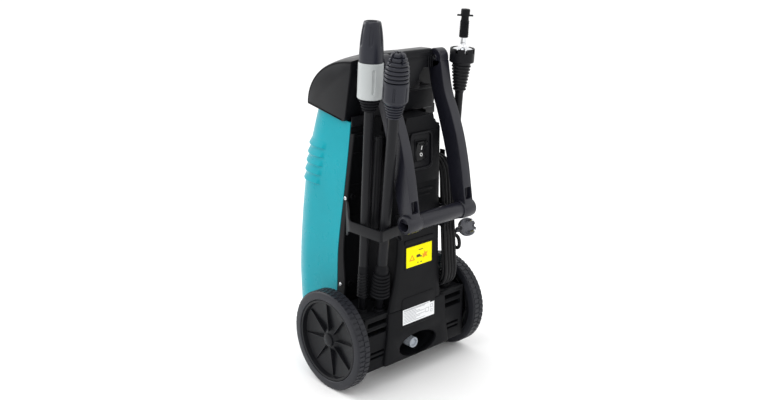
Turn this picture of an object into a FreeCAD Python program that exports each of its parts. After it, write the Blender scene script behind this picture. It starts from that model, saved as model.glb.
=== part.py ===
import FreeCAD, Part
import math
import os
import re
import Sketcher

# Upright pressure washer on two wheels, in millimetres.
# X runs along the axle, +Y points to the back (handle side), +Z up from the floor.
# Every piece is drawn with the axle above Y = 0; node() then moves it back by axle_y,
# which puts the origin on the floor under the middle of the machine.

SIZES = {
    # wheels and axle
    "wheel_radius": 90, "wheel_width": 27, "wheel_outer_x": 156, "rim_radius": 74,
    "hub_radius": 17, "axle_radius": 5, "axle_y": 35, "running_gap": 0.06,
    # base
    "base_bottom": 38, "base_top": 138, "base_half": 124, "base_nose_half": 92.5,
    "base_back": 65, "column_foot_half": 72, "base_wall": 3, "foot_half": 13,
    "foot_x": 62, "foot_y": -150,
    # body
    "body_half": 97, "column_half": 50, "column_root_half": 52, "column_back": 71,
    "wall": 3, "corner_radius": 70, "shell_bottom": 60, "shell_top": 486,
    "housing_top": 480, "hood_half": 105, "hood_wall": 4,
    # motor and pump, on an upright axis
    "motor_y": -62, "motor_radius": 52, "motor_bottom": 262, "motor_top": 382,
    "core_radius": 30, "shaft_radius": 6, "pump_radius": 44, "piston_circle": 24,
    # handle
    "pivot_y": 48, "pivot_z": 570, "arm_inner": 54, "arm_outer": 74, "pin_radius": 5,
    "hub_boss": 16, "bar_y": 116.4, "bar_z": 314, "bar_radius": 14.25, "bar_bore": 11,
    "bar_half": 80,
    # lances
    "lance_radius": 8.3, "lance_bore": 5, "strap_bottom": 284, "strap_top": 303,
    "strap_outer": 109, "strap_wall": 3.5,
    # switch, inlet and outlet
    "switch_z": 420, "bezel_half_x": 27, "bezel_half_z": 33, "rocker_half_x": 12,
    "rocker_half_z": 17, "inlet_z": 58, "inlet_radius": 10, "outlet_z": 86,
    "outlet_radius": 11, "pipe_radius": 8, "pipe_bore": 6,
    # where each lance stands on the base, and how far it leans per millimetre of height
    "lance_foot": 141, "vario_x": 95.8, "vario_y": 27.4, "vario_lean_x": 0.0043,
    "vario_lean_y": 0.0693, "turbo_x": 72.8, "turbo_y": 46, "turbo_lean_x": 0.0628,
    "turbo_lean_y": 0.175, "gun_x": -96, "gun_y": 41.2, "gun_lean_x": -0.0024,
    "gun_lean_y": 0.074, "spare_x": 72.5, "spare_y": 36, "spare_lean_x": -0.068,
    # mains cord
    "cord_radius": 3.3, "hank_inner": -56.6, "hank_outer": -86.4, "gland_x": -82.4,
}

doc = FreeCAD.newDocument("pressure_washer")
dims = doc.addObject("Spreadsheet::Sheet", "dims")
for row, (alias, number) in enumerate(SIZES.items(), start=1):
    dims.set(f"A{row}", str(number))
    dims.setAlias(f"A{row}", alias)
doc.recompute()

parts = []
heights = {}


def size(alias):
    """A driving dimension, read from the sheet."""
    return float(dims.get(alias))


def bind(target, path, formula):
    """Bind a property to a formula written with the sheet's aliases."""
    text = re.sub(r"[a-z]\w*", lambda word: "dims." + word.group(), str(formula))
    target.setExpression(path, text)


def put(target, x="0", y="0", z="0", turn=None):
    """Place an object: formulas for its base, and an optional rotation."""
    if turn is not None:
        target.Placement = FreeCAD.Placement(FreeCAD.Vector(), turn)
    bind(target, "Placement.Base.x", x)
    bind(target, "Placement.Base.y", y)
    bind(target, "Placement.Base.z", z)
    heights[target.Name] = y
    return target


def node(target, label):
    """Name a finished sub-part and move it into the machine's own frame."""
    target.Label = label
    shift = heights.get(target.Name, "0")
    bind(target, "Placement.Base.y", f"axle_y + ({shift})")
    parts.append(target)
    return target


ALONG_X = FreeCAD.Rotation(FreeCAD.Vector(0, 0, 1), FreeCAD.Vector(1, 0, 0))
ALONG_Y = FreeCAD.Rotation(FreeCAD.Vector(0, 0, 1), FreeCAD.Vector(0, 1, 0))
ALONG_MINUS_Y = FreeCAD.Rotation(FreeCAD.Vector(0, 0, 1), FreeCAD.Vector(0, -1, 0))


def box(x_low, x_high, y_low, y_high, z_low, z_high):
    solid = doc.addObject("Part::Box", "Box")
    bind(solid, "Length", f"({x_high}) - ({x_low})")
    bind(solid, "Width", f"({y_high}) - ({y_low})")
    bind(solid, "Height", f"({z_high}) - ({z_low})")
    return put(solid, x_low, y_low, z_low)


def cylinder(radius, length, x="0", y="0", z="0", turn=None):
    solid = doc.addObject("Part::Cylinder", "Cylinder")
    bind(solid, "Radius", radius)
    bind(solid, "Height", length)
    return put(solid, x, y, z, turn)


def fuse(solids):
    union = doc.addObject("Part::MultiFuse", "Fuse")
    union.Shapes = solids
    return union


def cut(base, tools):
    """Take the tools away from the base, as one cut."""
    result = doc.addObject("Part::Cut", "Cut")
    result.Base = base
    result.Tool = tools[0] if len(tools) == 1 else fuse(tools)
    return result


def group(solids):
    """Loose pieces of one kind, kept as separate solids under one name."""
    bundle = doc.addObject("Part::Compound", "Group")
    bundle.Links = solids
    return bundle


def outline(body, plane, corners):
    """A closed sketch of straight lines; each corner is a pair of formulas."""
    sketch = body.newObject("Sketcher::SketchObject", "Sketch")
    origin = next(f for f in body.Origin.OriginFeatures if f.Role == plane)
    sketch.AttachmentSupport = (origin, [""])
    sketch.MapMode = "FlatFace"
    count = len(corners)
    start = [FreeCAD.Vector(50 * math.cos(2 * math.pi * k / count),
                            50 * math.sin(2 * math.pi * k / count), 0)
             for k in range(count)]
    for k in range(count):
        sketch.addGeometry(Part.LineSegment(start[k], start[(k + 1) % count]), False)
    for k in range(count):
        sketch.addConstraint(Sketcher.Constraint("Coincident", k, 2, (k + 1) % count, 1))
    for k, pair in enumerate(corners):
        for direction, formula in zip(("DistanceX", "DistanceY"), pair):
            if str(formula) == "0":
                axis = -2 if direction == "DistanceX" else -1
                sketch.addConstraint(Sketcher.Constraint("PointOnObject", k, 1, axis))
                continue
            rule = Sketcher.Constraint(direction, -1, 1, k, 1, 10.0)
            index = sketch.addConstraint(rule)
            bind(sketch, f"Constraints[{index}]", formula)
    return sketch


def turned(profile, name="Turned"):
    """A body of revolution about its own Z; the profile is (radius, height) pairs."""
    body = doc.addObject("PartDesign::Body", name)
    sketch = outline(body, "XZ_Plane", profile)
    feature = body.newObject("PartDesign::Revolution", "Revolution")
    feature.Profile = sketch
    feature.ReferenceAxis = (sketch, ["V_Axis"])
    feature.Angle = 360
    return body


def padded(plane, corners, length, name="Padded"):
    """A straight extrusion of an outline, from its plane along the plane's normal."""
    body = doc.addObject("PartDesign::Body", name)
    feature = body.newObject("PartDesign::Pad", "Pad")
    feature.Profile = outline(body, plane, corners)
    bind(feature, "Length", length)
    return body


# ---------------------------------------------------------------- moulded covers

# Side profile of the body: height, front of the shell, seam, and floor of the rear pockets.
STATIONS = [
    (60, -190, -42, -22), (138, -193, -41, -20), (174, -193, -39, -17), (239, -187, -35, -20),
    (336, -172, -18, -7), (405, -154, -6, 4), (470, -131, 4, 16), (480, -127, 5, 18),
    (486, -124, 6, 19),
]


def polygon(points):
    corners = [FreeCAD.Vector(*point) for point in points]
    return Part.makePolygon(corners + corners[:1])


def shell_section(z, front, seam, inset):
    """Plan of the front shell at one height: a U with two rounded corners."""
    half = size("body_half") - inset
    radius = size("corner_radius") - inset
    nose = front + inset
    middle = radius * (1 - math.sqrt(0.5))
    left = FreeCAD.Vector(-half, seam, z)
    left_arc = FreeCAD.Vector(-half, nose + radius, z)
    left_nose = FreeCAD.Vector(-half + radius, nose, z)
    right = FreeCAD.Vector(half, seam, z)
    right_arc = FreeCAD.Vector(half, nose + radius, z)
    right_nose = FreeCAD.Vector(half - radius, nose, z)
    left_bend = FreeCAD.Vector(-half + middle, nose + middle, z)
    right_bend = FreeCAD.Vector(half - middle, nose + middle, z)
    return Part.Wire([
        Part.LineSegment(left, left_arc).toShape(),
        Part.Arc(left_arc, left_bend, left_nose).toShape(),
        Part.LineSegment(left_nose, right_nose).toShape(),
        Part.Arc(right_nose, right_bend, right_arc).toShape(),
        Part.LineSegment(right_arc, right).toShape(),
        Part.LineSegment(right, left).toShape(),
    ])


def front_shell():
    """The coloured cover: a lofted U, open at the top, the bottom and the seam."""
    low, high = size("shell_bottom"), size("shell_top")
    rows = [row for row in STATIONS if low <= row[0] <= high]
    outer = Part.makeLoft([shell_section(z, nose, seam, 0) for z, nose, seam, _ in rows], True,
                          True)
    wall = size("wall")
    inner = [shell_section(z, nose, seam + 1, wall) for z, nose, seam, _ in rows]
    cavity = Part.makeLoft(inner, True, True)
    shape = outer.cut(cavity)
    hole = Part.makeCylinder(size("pipe_radius") + 2, 60,
                             FreeCAD.Vector(0, -160, size("outlet_z")), FreeCAD.Vector(0, -1, 0))
    cover = doc.addObject("Part::Feature", "FrontShell")
    cover.Shape = shape.cut(hole)
    return node(cover, "front_shell")


def housing_section(z, seam, pocket, inset):
    """Plan of the rear housing: the column with a lance pocket on each side."""
    half = size("body_half") - inset
    root = size("column_root_half") - inset
    column = size("column_half") - inset
    back = size("column_back") - inset
    floor = pocket - inset
    start = seam + 0.8 - (2 if inset else 0)
    right = [(half, start, z), (half, floor, z), (root, floor, z), (column, back, z)]
    return polygon(right + [(-x, y, z) for x, y, z in reversed(right)])


GLAND_AXIS = FreeCAD.Vector(0, 1, -1).normalize()
GLAND_FOOT = FreeCAD.Vector(size("gland_x"), -12.4, 255.1)


def rear_housing():
    """The black rear moulding: centre column, two flank rails, open to the front."""
    base, top = size("base_top"), size("housing_top")
    rows = [row for row in STATIONS if base <= row[0] <= top]
    outer = Part.makeLoft([housing_section(z, s, p, 0) for z, _, s, p in rows], True, True)
    wall = size("wall")
    cavity = Part.makeLoft([housing_section(min(max(z, base - 1), top - wall), s, p, wall)
                            for z, _, s, p in rows], True, True)
    rocker_x, rocker_z = size("rocker_half_x") + 2, size("rocker_half_z") + 3
    corner = FreeCAD.Vector(-rocker_x, size("column_back") - 8, size("switch_z") - rocker_z)
    window = Part.makeBox(2 * rocker_x, 10, 2 * rocker_z, corner)
    gland = Part.makeCylinder(5.5, 30, GLAND_FOOT - GLAND_AXIS * 20, GLAND_AXIS)
    cover = doc.addObject("Part::Feature", "RearHousing")
    cover.Shape = outer.cut(cavity).cut(window).cut(gland)
    return node(cover, "rear_housing")


def hood_section(x, reach, crown, inset):
    """Side profile of the hood at one X: a quarter oval over a straight lower edge."""
    tip, back, low, top = -102 - reach + inset, 16 - inset, 480 - inset, 574 + crown - inset
    front = FreeCAD.Vector(x, tip, 491)
    crest = FreeCAD.Vector(x, back, top)
    bend = FreeCAD.Vector(x, tip + 0.3 * (back - tip), 491 + 0.69 * (top - 491))
    heel = FreeCAD.Vector(x, back - 20, low - 9)
    toe = FreeCAD.Vector(x, tip, low + 10)
    return Part.Wire([
        Part.Arc(front, bend, crest).toShape(),
        Part.LineSegment(crest, heel).toShape(),
        Part.LineSegment(heel, toe).toShape(),
        Part.LineSegment(toe, front).toShape(),
    ])


def hose_hood():
    """The hose rest over the top front: a hollow quarter drum, a little crowned."""
    half, wall = size("hood_half"), size("hood_wall")
    outer = Part.makeLoft([hood_section(-half, 0, 0, 0), hood_section(0, 44, 8, 0),
                           hood_section(half, 0, 0, 0)], True)
    inner_half = half - wall
    inner = Part.makeLoft([hood_section(-inner_half, 0, 0, wall), hood_section(0, 44, 8, wall),
                           hood_section(inner_half, 0, 0, wall)], True)
    cover = doc.addObject("Part::Feature", "HoseHood")
    window = Part.makeBox(2 * size("body_half") + 3, 91, 56,
                          FreeCAD.Vector(-size("body_half") - 1.5, -60, 465))
    cover.Shape = outer.cut(inner).cut(window)
    return node(cover, "hose_hood")


front_shell()
rear_housing()
hose_hood()

top_box = cut(box("-71", "71", "-40", "30", "housing_top + 0.3", "520"),
              [box("-71 + wall", "71 - wall", "-41", "30 - wall", "housing_top", "520 - wall")])


# ---------------------------------------------------------------- base, axle, wheels

def base_frame():
    """The base: a deep tray with a top deck, an oval window for the inlet, side slots."""
    plan = [("-base_nose_half", "-120"), ("-45", "-180"), ("45", "-180"),
            ("base_nose_half", "-120"), ("base_nose_half", "-38"), ("base_half", "-38"),
            ("base_half", "base_back"), ("column_foot_half + 4", "base_back"),
            ("column_foot_half", "column_back"), ("-column_foot_half", "column_back"),
            ("-column_foot_half - 4", "base_back"), ("-base_half", "base_back"),
            ("-base_half", "-38"), ("-base_nose_half", "-38")]
    outer = put(padded("XY_Plane", plan, "base_top - base_bottom", "Base"),
                z="base_bottom")
    low, high = "base_bottom + base_wall", "base_top - base_wall"
    tools = [
        box("-base_half + base_wall", "base_half - base_wall", "-38 + base_wall",
            "base_back - base_wall", low, high),
        box("-base_nose_half + base_wall", "base_nose_half - base_wall", "-119", "-34",
            low, high),
        box("-47", "47", "-177", "-118", low, high),
        box("-88", "88", "-118", "-46", "base_top - 10", "base_top + 1"),
        box("-46", "46", "-47", "60", "base_top - 10", "base_top + 1"),
        cylinder("axle_radius + running_gap", "2*base_half + 2", "-base_half - 1", "0",
                 "wheel_radius", ALONG_X),
        cylinder("pipe_radius + 1", "20", "0", "-170", "outlet_z", ALONG_MINUS_Y),
    ]
    for side in ("", "-"):
        for slot_low, slot_high in (("122", "130"), ("106", "115")):
            tools.append(box(f"{side}87 - 27", f"{side}87 + 27", "base_back - 6",
                             "base_back + 1", slot_low, slot_high))
        for slot_low, slot_high in (("69", "73"), ("60", "64")):
            tools.append(box(f"{side}92 - 17", f"{side}92 + 17", "base_back - 6",
                             "base_back + 1", slot_low, slot_high))
    window = doc.addObject("Part::Ellipse", "Window")
    window.MajorRadius = 46
    window.MinorRadius = 21.5
    put(window, "0", "column_back - 12", "inlet_z + 3.5", ALONG_Y)
    opening = doc.addObject("Part::Extrusion", "Opening")
    opening.Base = window
    opening.Dir = FreeCAD.Vector(0, 1, 0)
    opening.LengthFwd = 16
    opening.Solid = True
    tools.append(opening)
    return node(cut(outer, tools), "base_frame")


base_frame()
node(group([cylinder("foot_half", "base_bottom", f"{side}foot_x", "foot_y")
            for side in ("", "-")]), "front_feet")
node(cylinder("axle_radius", "2*150", "-150", "0", "wheel_radius", ALONG_X), "axle")


def wheel(side, name):
    """One wheel: a ribbed disc inside a solid tread ring; returns its axle clip."""
    turn = FreeCAD.Rotation(FreeCAD.Vector(0, 0, 1), FreeCAD.Vector(side, 0, 0))
    inner_x = f"{side}*(wheel_outer_x - wheel_width)"
    bore = "axle_radius + running_gap"
    disc = turned([
        (bore, "1"), ("hub_radius", "1"), ("hub_radius", "9"), ("rim_radius - 12", "9"),
        ("rim_radius - 6", "2"), ("rim_radius - 0.1", "2"),
        ("rim_radius - 0.1", "wheel_width - 1"), ("rim_radius - 5", "wheel_width - 1"),
        ("rim_radius - 9", "13"), ("hub_radius", "12"), ("hub_radius - 3", "20"), (bore, "20"),
    ], "WheelDisc")
    sketch = outline(disc, "XZ_Plane", [("hub_radius - 4", "11"), ("rim_radius - 8", "12"),
                                        ("rim_radius - 8", "17"), ("hub_radius - 4", "19")])
    rib = disc.newObject("PartDesign::Pad", "Rib")
    rib.Profile = sketch
    rib.Length = 2.4
    rib.SideType = "Symmetric"
    ribs = disc.newObject("PartDesign::PolarPattern", "Ribs")
    ribs.Originals = [rib]
    ribs.Axis = (sketch, ["V_Axis"])
    ribs.Angle = 360
    ribs.Occurrences = 8
    disc.Tip = ribs
    node(put(disc, inner_x, "0", "wheel_radius", turn), f"wheel_disc_{name}")
    tread = turned([("rim_radius", "0"), ("wheel_radius", "0"),
                    ("wheel_radius", "wheel_width"), ("rim_radius", "wheel_width")], "Tread")
    node(put(tread, inner_x, "0", "wheel_radius", turn), f"wheel_tread_{name}")
    cap = turned([("axle_radius + 0.3", "0"), ("hub_radius - 5", "0"), ("hub_radius - 7", "4"),
                  ("axle_radius + 0.3", "4")], "Cap")
    return put(cap, f"{side}*(wheel_outer_x - wheel_width + 20.3)", "0", "wheel_radius", turn)


node(group([wheel(1, "left"), wheel(-1, "right")]), "axle_clips")


# ---------------------------------------------------------------- handle and its mount

node(fuse([
    box("-arm_inner + 1", "arm_inner - 1", "17", "pivot_y - 1", "552", "586"),
    put(padded("XZ_Plane", [("-44", "568"), ("0", "522"), ("44", "568")], "6"),
        "0", "pivot_y - 1"),
    box("-34", "34", "17", "34", "518", "553"),
    top_box,
]), "handle_mount")


def handle_arm(side, name):
    """A curved arm with a boss round its pivot and a ring round the grip bar."""
    low = "arm_inner" if side > 0 else "-arm_outer"
    width = "arm_outer - arm_inner"
    curve = [("64", "566"), ("72", "518"), ("93", "479"), ("106", "440"), ("120", "355"),
             ("130", "314"), ("103", "314"), ("90", "352"), ("75", "430"), ("60", "472"),
             ("42", "515"), ("32", "566")]
    blade = put(padded("YZ_Plane", curve, width, "Arm"), low)
    boss = cylinder("hub_boss", width, low, "pivot_y", "pivot_z", ALONG_X)
    ring = cylinder("bar_radius + 3", width, low, "bar_y", "bar_z", ALONG_X)
    pin = cylinder("pin_radius + running_gap", "30", f"{low} - 5", "pivot_y", "pivot_z", ALONG_X)
    grip = cylinder("bar_radius + 0.02", "30", f"{low} - 5", "bar_y", "bar_z", ALONG_X)
    return node(cut(fuse([blade, boss, ring]), [pin, grip]), f"handle_arm_{name}")


handle_arm(1, "left")
handle_arm(-1, "right")
node(cut(cylinder("bar_radius", "2*bar_half", "-bar_half", "bar_y", "bar_z", ALONG_X),
         [cylinder("bar_bore", "2*bar_half + 2", "-bar_half - 1", "bar_y", "bar_z", ALONG_X)]),
     "handle_bar")
pins = []
for side in (1, -1):
    turn = FreeCAD.Rotation(FreeCAD.Vector(0, 0, 1), FreeCAD.Vector(side, 0, 0))
    pin = turned([("0", "0"), ("pin_radius", "0"), ("pin_radius", "arm_outer - arm_inner + 1.4"),
                  ("pin_radius + 4", "arm_outer - arm_inner + 1.4"),
                  ("pin_radius + 3", "arm_outer - arm_inner + 3"),
                  ("0", "arm_outer - arm_inner + 3")], "PivotPin")
    pins.append(put(pin, f"{side}*(arm_inner - 1)", "pivot_y", "pivot_z", turn))
node(group(pins), "pivot_pins")


# ---------------------------------------------------------------- lance holders and lances

def lance_holder(side, name):
    """A band that stands out from the flank and closes on the column round the lances."""
    path = [("body_half + 0.3", "-10"), ("strap_outer", "8"), ("strap_outer", "88"),
            ("105", "92.5"), ("column_half + 6", "83.6"), ("column_half + 0.6", "83.6"),
            ("column_half + 0.6", "62"), ("column_half + 6", "72"),
            ("column_half + 6", "80"), ("103.5", "88.6"),
            ("strap_outer - strap_wall", "86.5"), ("strap_outer - strap_wall", "9"),
            ("body_half + 0.3", "-3.5")]
    if side < 0:
        path = [(f"-({x})", y) for x, y in path]
    band = put(padded("XY_Plane", path, "strap_top - strap_bottom", "Band"), z="strap_bottom")
    if side < 0:
        return node(band, f"lance_holder_{name}")
    socket = cylinder("11", "9", "spare_x", "spare_y", "strap_bottom - 5")
    bore = cylinder("8", "9", "spare_x", "spare_y", "strap_bottom - 2")
    web = box("54.5", "58", "30", "77", "strap_bottom", "strap_bottom + 4")
    arm = box("55", "spare_x - 7", "33", "39", "strap_bottom - 5", "strap_bottom + 4")
    return node(cut(fuse([band, socket, web, arm]), [bore]), f"lance_holder_{name}")


lance_holder(1, "left")
lance_holder(-1, "right")


def stand(target, name):
    """Stand a turned piece on its lance's own leaning axis."""
    lean_y = size(f"{name}_lean_y") if name != "spare" else 0
    axis = FreeCAD.Vector(size(f"{name}_lean_x"), lean_y, 1)
    turn = FreeCAD.Rotation(FreeCAD.Vector(0, 0, 1), axis)
    foot = "lance_foot" if name != "spare" else "strap_bottom - 1"
    return put(target, f"{name}_x", f"{name}_y", foot, turn)


def lance_piece(name, label, profile):
    return node(stand(turned(profile, "LancePiece"), name), label)


def sleeve(radius, bore, low, high):
    """Profile of a plain sleeve."""
    return [(bore, low), (radius, low), (radius, high), (bore, high)]


lance_piece("vario", "vario_tube", sleeve("lance_radius", "lance_bore", "25", "378"))
lance_piece("vario", "vario_grip", [
    ("lance_bore", "0"), ("6.5", "0"), ("6.5", "24"), ("10", "25"), ("10", "82"),
    ("lance_radius + 0.05", "84"), ("lance_radius + 0.05", "24.9"), ("lance_bore", "24.9")])
lance_piece("vario", "vario_collar", [
    ("lance_radius + 0.05", "357"), ("11", "357"), ("14", "377"), ("20.8", "378.5"),
    ("20.6", "437"), ("9", "437"), ("9", "379"), ("lance_radius + 0.05", "378.5")])
lance_piece("vario", "vario_nozzle", [
    ("4", "437.4"), ("19.8", "437.4"), ("19.5", "465"), ("16.8", "490"), ("13.6", "502"),
    ("10.5", "502"), ("4", "486")])
lance_piece("turbo", "turbo_tube", sleeve("lance_radius + 0.6", "lance_bore", "31", "370"))
lance_piece("turbo", "turbo_grip", [
    ("lance_bore", "0"), ("7", "0"), ("7", "30"), ("17", "31"), ("18", "40"), ("15", "76"),
    ("lance_radius + 0.65", "80"), ("lance_radius + 0.65", "30.9"), ("lance_bore", "30.9")])
lance_piece("turbo", "turbo_barrel", [
    ("lance_radius + 0.65", "359"), ("10", "359"), ("16", "382"), ("20.8", "390"),
    ("20.8", "420"), ("9", "420"), ("9", "372"), ("lance_radius + 0.65", "370.2")])
lance_piece("turbo", "turbo_cap", [
    ("4", "420.2"), ("20.2", "420.2"), ("20", "445"), ("16", "458"), ("8", "466"), ("4", "466")])
lance_piece("spare", "extension_tube", sleeve("7.5", "lance_bore", "0", "165"))
lance_piece("gun", "gun_tube", [
    ("3.5", "25"), ("lance_radius - 1.1", "25"), ("lance_radius - 1.1", "371"), ("10", "371"),
    ("16", "418"), ("16", "420.5"), ("6", "420.5"), ("6", "386.2"), ("3.5", "386.2")])
lance_piece("gun", "gun_grip", [
    ("3.5", "0"), ("5.5", "0"), ("5.5", "24"), ("9.3", "25"), ("9.3", "68"),
    ("lance_radius - 1.05", "71"), ("lance_radius - 1.05", "24.9"), ("3.5", "24.9")])
lance_piece("gun", "union_nut", [
    ("16.4", "421"), ("21.4", "421"), ("21.4", "445"), ("18.4", "445"), ("18.4", "426"),
    ("16.4", "424")])
lance_piece("gun", "chrome_cone", [
    ("3", "421"), ("16", "421"), ("16", "440"), ("8", "446"), ("5.2", "450"), ("5.2", "463"),
    ("3", "463")])
lance_piece("gun", "bayonet_stem", [
    ("3", "463.2"), ("8.2", "463.2"), ("8.2", "496"), ("7", "499"), ("7.7", "501"),
    ("7.7", "511"), ("3", "511")])


# ---------------------------------------------------------------- switch, labels, screws

node(cut(box("-bezel_half_x", "bezel_half_x", "column_back + 0.05", "column_back + 5",
             "switch_z - bezel_half_z", "switch_z + bezel_half_z"),
         [box("-rocker_half_x - 0.4", "rocker_half_x + 0.4", "column_back - 1",
              "column_back + 6", "switch_z - 19.4", "switch_z + 19.4")]), "switch_bezel")
rocker = padded("YZ_Plane", [
    ("column_back - 5", "switch_z - 12"), ("column_back + 5", "switch_z - 17"),
    ("column_back + 4.5", "switch_z"), ("column_back + 8.5", "switch_z + 17"),
    ("column_back - 5", "switch_z + 12")], "2*rocker_half_x", "Rocker")
node(put(rocker, "-rocker_half_x"), "rocker_switch")
node(box("-31", "31", "column_back + 0.05", "column_back + 0.6", "213", "250"), "warning_label")
node(box("-39", "39", "column_back + 0.05", "column_back + 0.6", "107", "136"), "rating_label")
screws = []
for side in (1, -1):
    turn = FreeCAD.Rotation(FreeCAD.Vector(0, 0, 1), FreeCAD.Vector(side, 0, 0))
    for x, y, z in (("body_half + 0.05", "-12", "336"), ("body_half + 0.05", "-29", "172")):
        screws.append(cylinder("3.4", "1.6", f"{side}*({x})", y, z, turn))
node(group(screws), "housing_screws")


# ---------------------------------------------------------------- motor and pump

def upright(profile, label):
    """A piece turned about the motor's upright axis."""
    return node(put(turned(profile, "Upright"), "0", "motor_y"), label)


upright(sleeve("motor_radius", "core_radius + 0.6", "motor_bottom", "motor_top"), "motor_stator")
upright(sleeve("core_radius", "shaft_radius", "motor_bottom + 8", "motor_top - 8"), "rotor_core")
upright([("0", "216"), ("shaft_radius", "216"), ("shaft_radius", "418"), ("0", "418")],
        "motor_shaft")
node(group([put(turned(sleeve(radius, "shaft_radius + running_gap", low, high)), "0", "motor_y")
            for radius, low, high in (("16", "240", "250"), ("14", "390", "399"))]),
     "motor_bearings")
upright([("14.02", "motor_top + 0.2"), ("motor_radius", "motor_top + 0.2"),
         ("motor_radius", "motor_top + 6"), ("18", "motor_top + 17"),
         ("14.02", "motor_top + 17")], "motor_end_cap")
upright(sleeve("47", "shaft_radius + 0.02", "404", "414"), "cooling_fan")
upright([("0", "206"), ("30", "206"), ("30", "210"), ("12", "215.8"), ("0", "215.8")],
        "wobble_plate")
upright([("40", "160.3"), ("pump_radius", "160.3"), ("pump_radius", "motor_bottom - 0.2"),
         ("40", "motor_bottom - 0.2"), ("40", "250"), ("16.02", "250"), ("16.02", "240"),
         ("40", "240")], "pump_flange")
pistons = []
springs = []
bores = []
for k in range(3):
    angle = 2 * math.pi * k / 3
    x = f"piston_circle*{math.cos(angle):.4f}"
    y = f"motor_y + piston_circle*{math.sin(angle):.4f}"
    pistons.append(cylinder("7", "70", x, y, "126"))
    bores.append(cylinder("7 + running_gap", "60", x, y, "112"))
    springs.append(cut(cylinder("10", "24", x, y, "160.5"), [cylinder("7.6", "26", x, y, "160")]))
node(group(pistons), "pistons")
node(group(springs), "piston_springs")
node(cut(cylinder("pump_radius", "58", "0", "motor_y", "102"), bores), "pump_body")
node(cut(box("-38", "38", "motor_y - 38", "motor_y + 38", "46", "101.8"),
         [cylinder("6", "80", "0", "motor_y", "inlet_z", ALONG_Y),
          cylinder("6", "80", "0", "motor_y", "outlet_z", ALONG_MINUS_Y)]), "pump_head")


def fitting(radius, pipe, nipple, y, z, turn, label):
    """A pipe from the pump head that ends in a wider screwed nipple."""
    profile = [("pipe_bore", "0"), ("pipe_radius", "0"), ("pipe_radius", pipe),
               (radius, pipe), (radius, f"{pipe} + {nipple}"), ("pipe_bore", f"{pipe} + {nipple}")]
    return node(put(turned(profile, "Fitting"), "0", y, z, turn), label)


fitting("inlet_radius", 66, 18, "motor_y + 38.2", "inlet_z", ALONG_Y, "inlet_fitting")
fitting("outlet_radius", 94, 18, "motor_y - 38.2", "outlet_z", ALONG_MINUS_Y, "outlet_fitting")
node(cylinder("pipe_bore - 0.1", "12", "0", "45", "inlet_z", ALONG_Y), "inlet_filter")
node(cylinder("17", "66", "58", "-122", "290"), "start_capacitor")
node(box("-82", "-48", "-128", "-98", "142", "196"), "pressure_switch")


# ---------------------------------------------------------------- mains cord


def peg():
    """The peg on the column's side that the hank hangs on, with an upturned end."""
    return fuse([box("hank_outer - 4", "-51.3", "32", "44", "374", "383"),
                 box("hank_outer - 4", "hank_outer - 1", "32", "44", "382", "402")])


hank = put(padded("YZ_Plane", [("26", "399"), ("50", "399"), ("69", "378"), ("85", "173"),
                               ("70", "150"), ("40", "150"), ("23", "169"), ("6", "378")],
                  "hank_inner - hank_outer", "Hank"), "hank_outer")
node(cut(hank, [peg()]), "cord_hank")
node(peg(), "cord_hook")


def tube(route, radius, label):
    """A cord along straight runs joined by tangent arcs as large as the runs allow."""
    points = [FreeCAD.Vector(*point) for point in route]
    edges = []
    start = points[0]
    for before, corner, after in zip(points, points[1:], points[2:]):
        inward = (before - corner).normalize()
        outward = (after - corner).normalize()
        turn = math.pi - inward.getAngle(outward)
        run = min(before.distanceToPoint(corner), after.distanceToPoint(corner))
        bend = 0.45 * run / math.tan(turn / 2)
        print(f"{label}: bend radius {bend:.1f} mm")
        first = corner + inward * 0.45 * run
        last = corner + outward * 0.45 * run
        middle = (inward + outward).normalize()
        reach = bend / math.cos(turn / 2) - bend
        edges.append(Part.LineSegment(start, first).toShape())
        edges.append(Part.Arc(first, corner + middle * reach, last).toShape())
        start = last
    edges.append(Part.LineSegment(start, points[-1]).toShape())
    path = Part.Wire(edges)
    ring = Part.Wire(Part.makeCircle(radius, points[0], points[1] - points[0]))
    shape = path.makePipeShell([ring], True, False)
    print(f"{label}: volume ratio {shape.Volume / (math.pi * radius**2 * path.Length):.4f}")
    cord = doc.addObject("Part::Feature", "Cord")
    cord.Shape = shape
    return node(cord, label)


GLAND_TURN = FreeCAD.Rotation(FreeCAD.Vector(0, 0, 1), GLAND_AXIS)
node(put(turned([("cord_radius", "-10"), ("5.4", "-10"), ("5.4", "0"), ("7.5", "0"),
                 ("7.5", "3"), ("5.2", "4"), ("4.2", "24"), ("cord_radius", "24")], "Gland"),
         "gland_x", GLAND_FOOT.y, GLAND_FOOT.z, GLAND_TURN), "cord_gland")
PLUG_AXIS = FreeCAD.Vector(0.25, 0.87, 0.42).normalize()
PLUG_REAR = FreeCAD.Vector(-97.5, 70.9, 255.3)
exit_point = GLAND_FOOT + GLAND_AXIS * 24
tube([tuple(exit_point), (-82.4, 8.5, 233.8), (-82.4, 14.8, 226.2)], size("cord_radius"),
     "cord_lead")
tail = PLUG_REAR - PLUG_AXIS * 6
tube([(-86.9, 71, 246), (-93.2, 71.4, 245.6), (-97, 73.2, 241), (-97.6, 75.8, 235),
      (-97.4, 77, 228.5), (-97.4, 75.5, 223.3), (-97.5, 71.5, 220.4), (-97.6, 66.5, 220.4),
      (-97.7, 62.6, 223.3), (-97.8, 61, 228), (-97.9, 60.8, 237), (-98.3, 61.4, 245),
      tuple(tail), tuple(PLUG_REAR)],
     size("cord_radius"), "cord_tail")
PLUG_TURN = FreeCAD.Rotation(FreeCAD.Vector(0, 0, 1), PLUG_AXIS)
PLUG_ACROSS = (FreeCAD.Vector(0, 0, 1) - PLUG_AXIS * PLUG_AXIS.z).normalize()
plug = turned([("0", "0.1"), ("4.8", "0.1"), ("5.6", "12"), ("9", "27"), ("16.5", "31"),
               ("16.5", "42"), ("0", "42")], "Plug")
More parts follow.
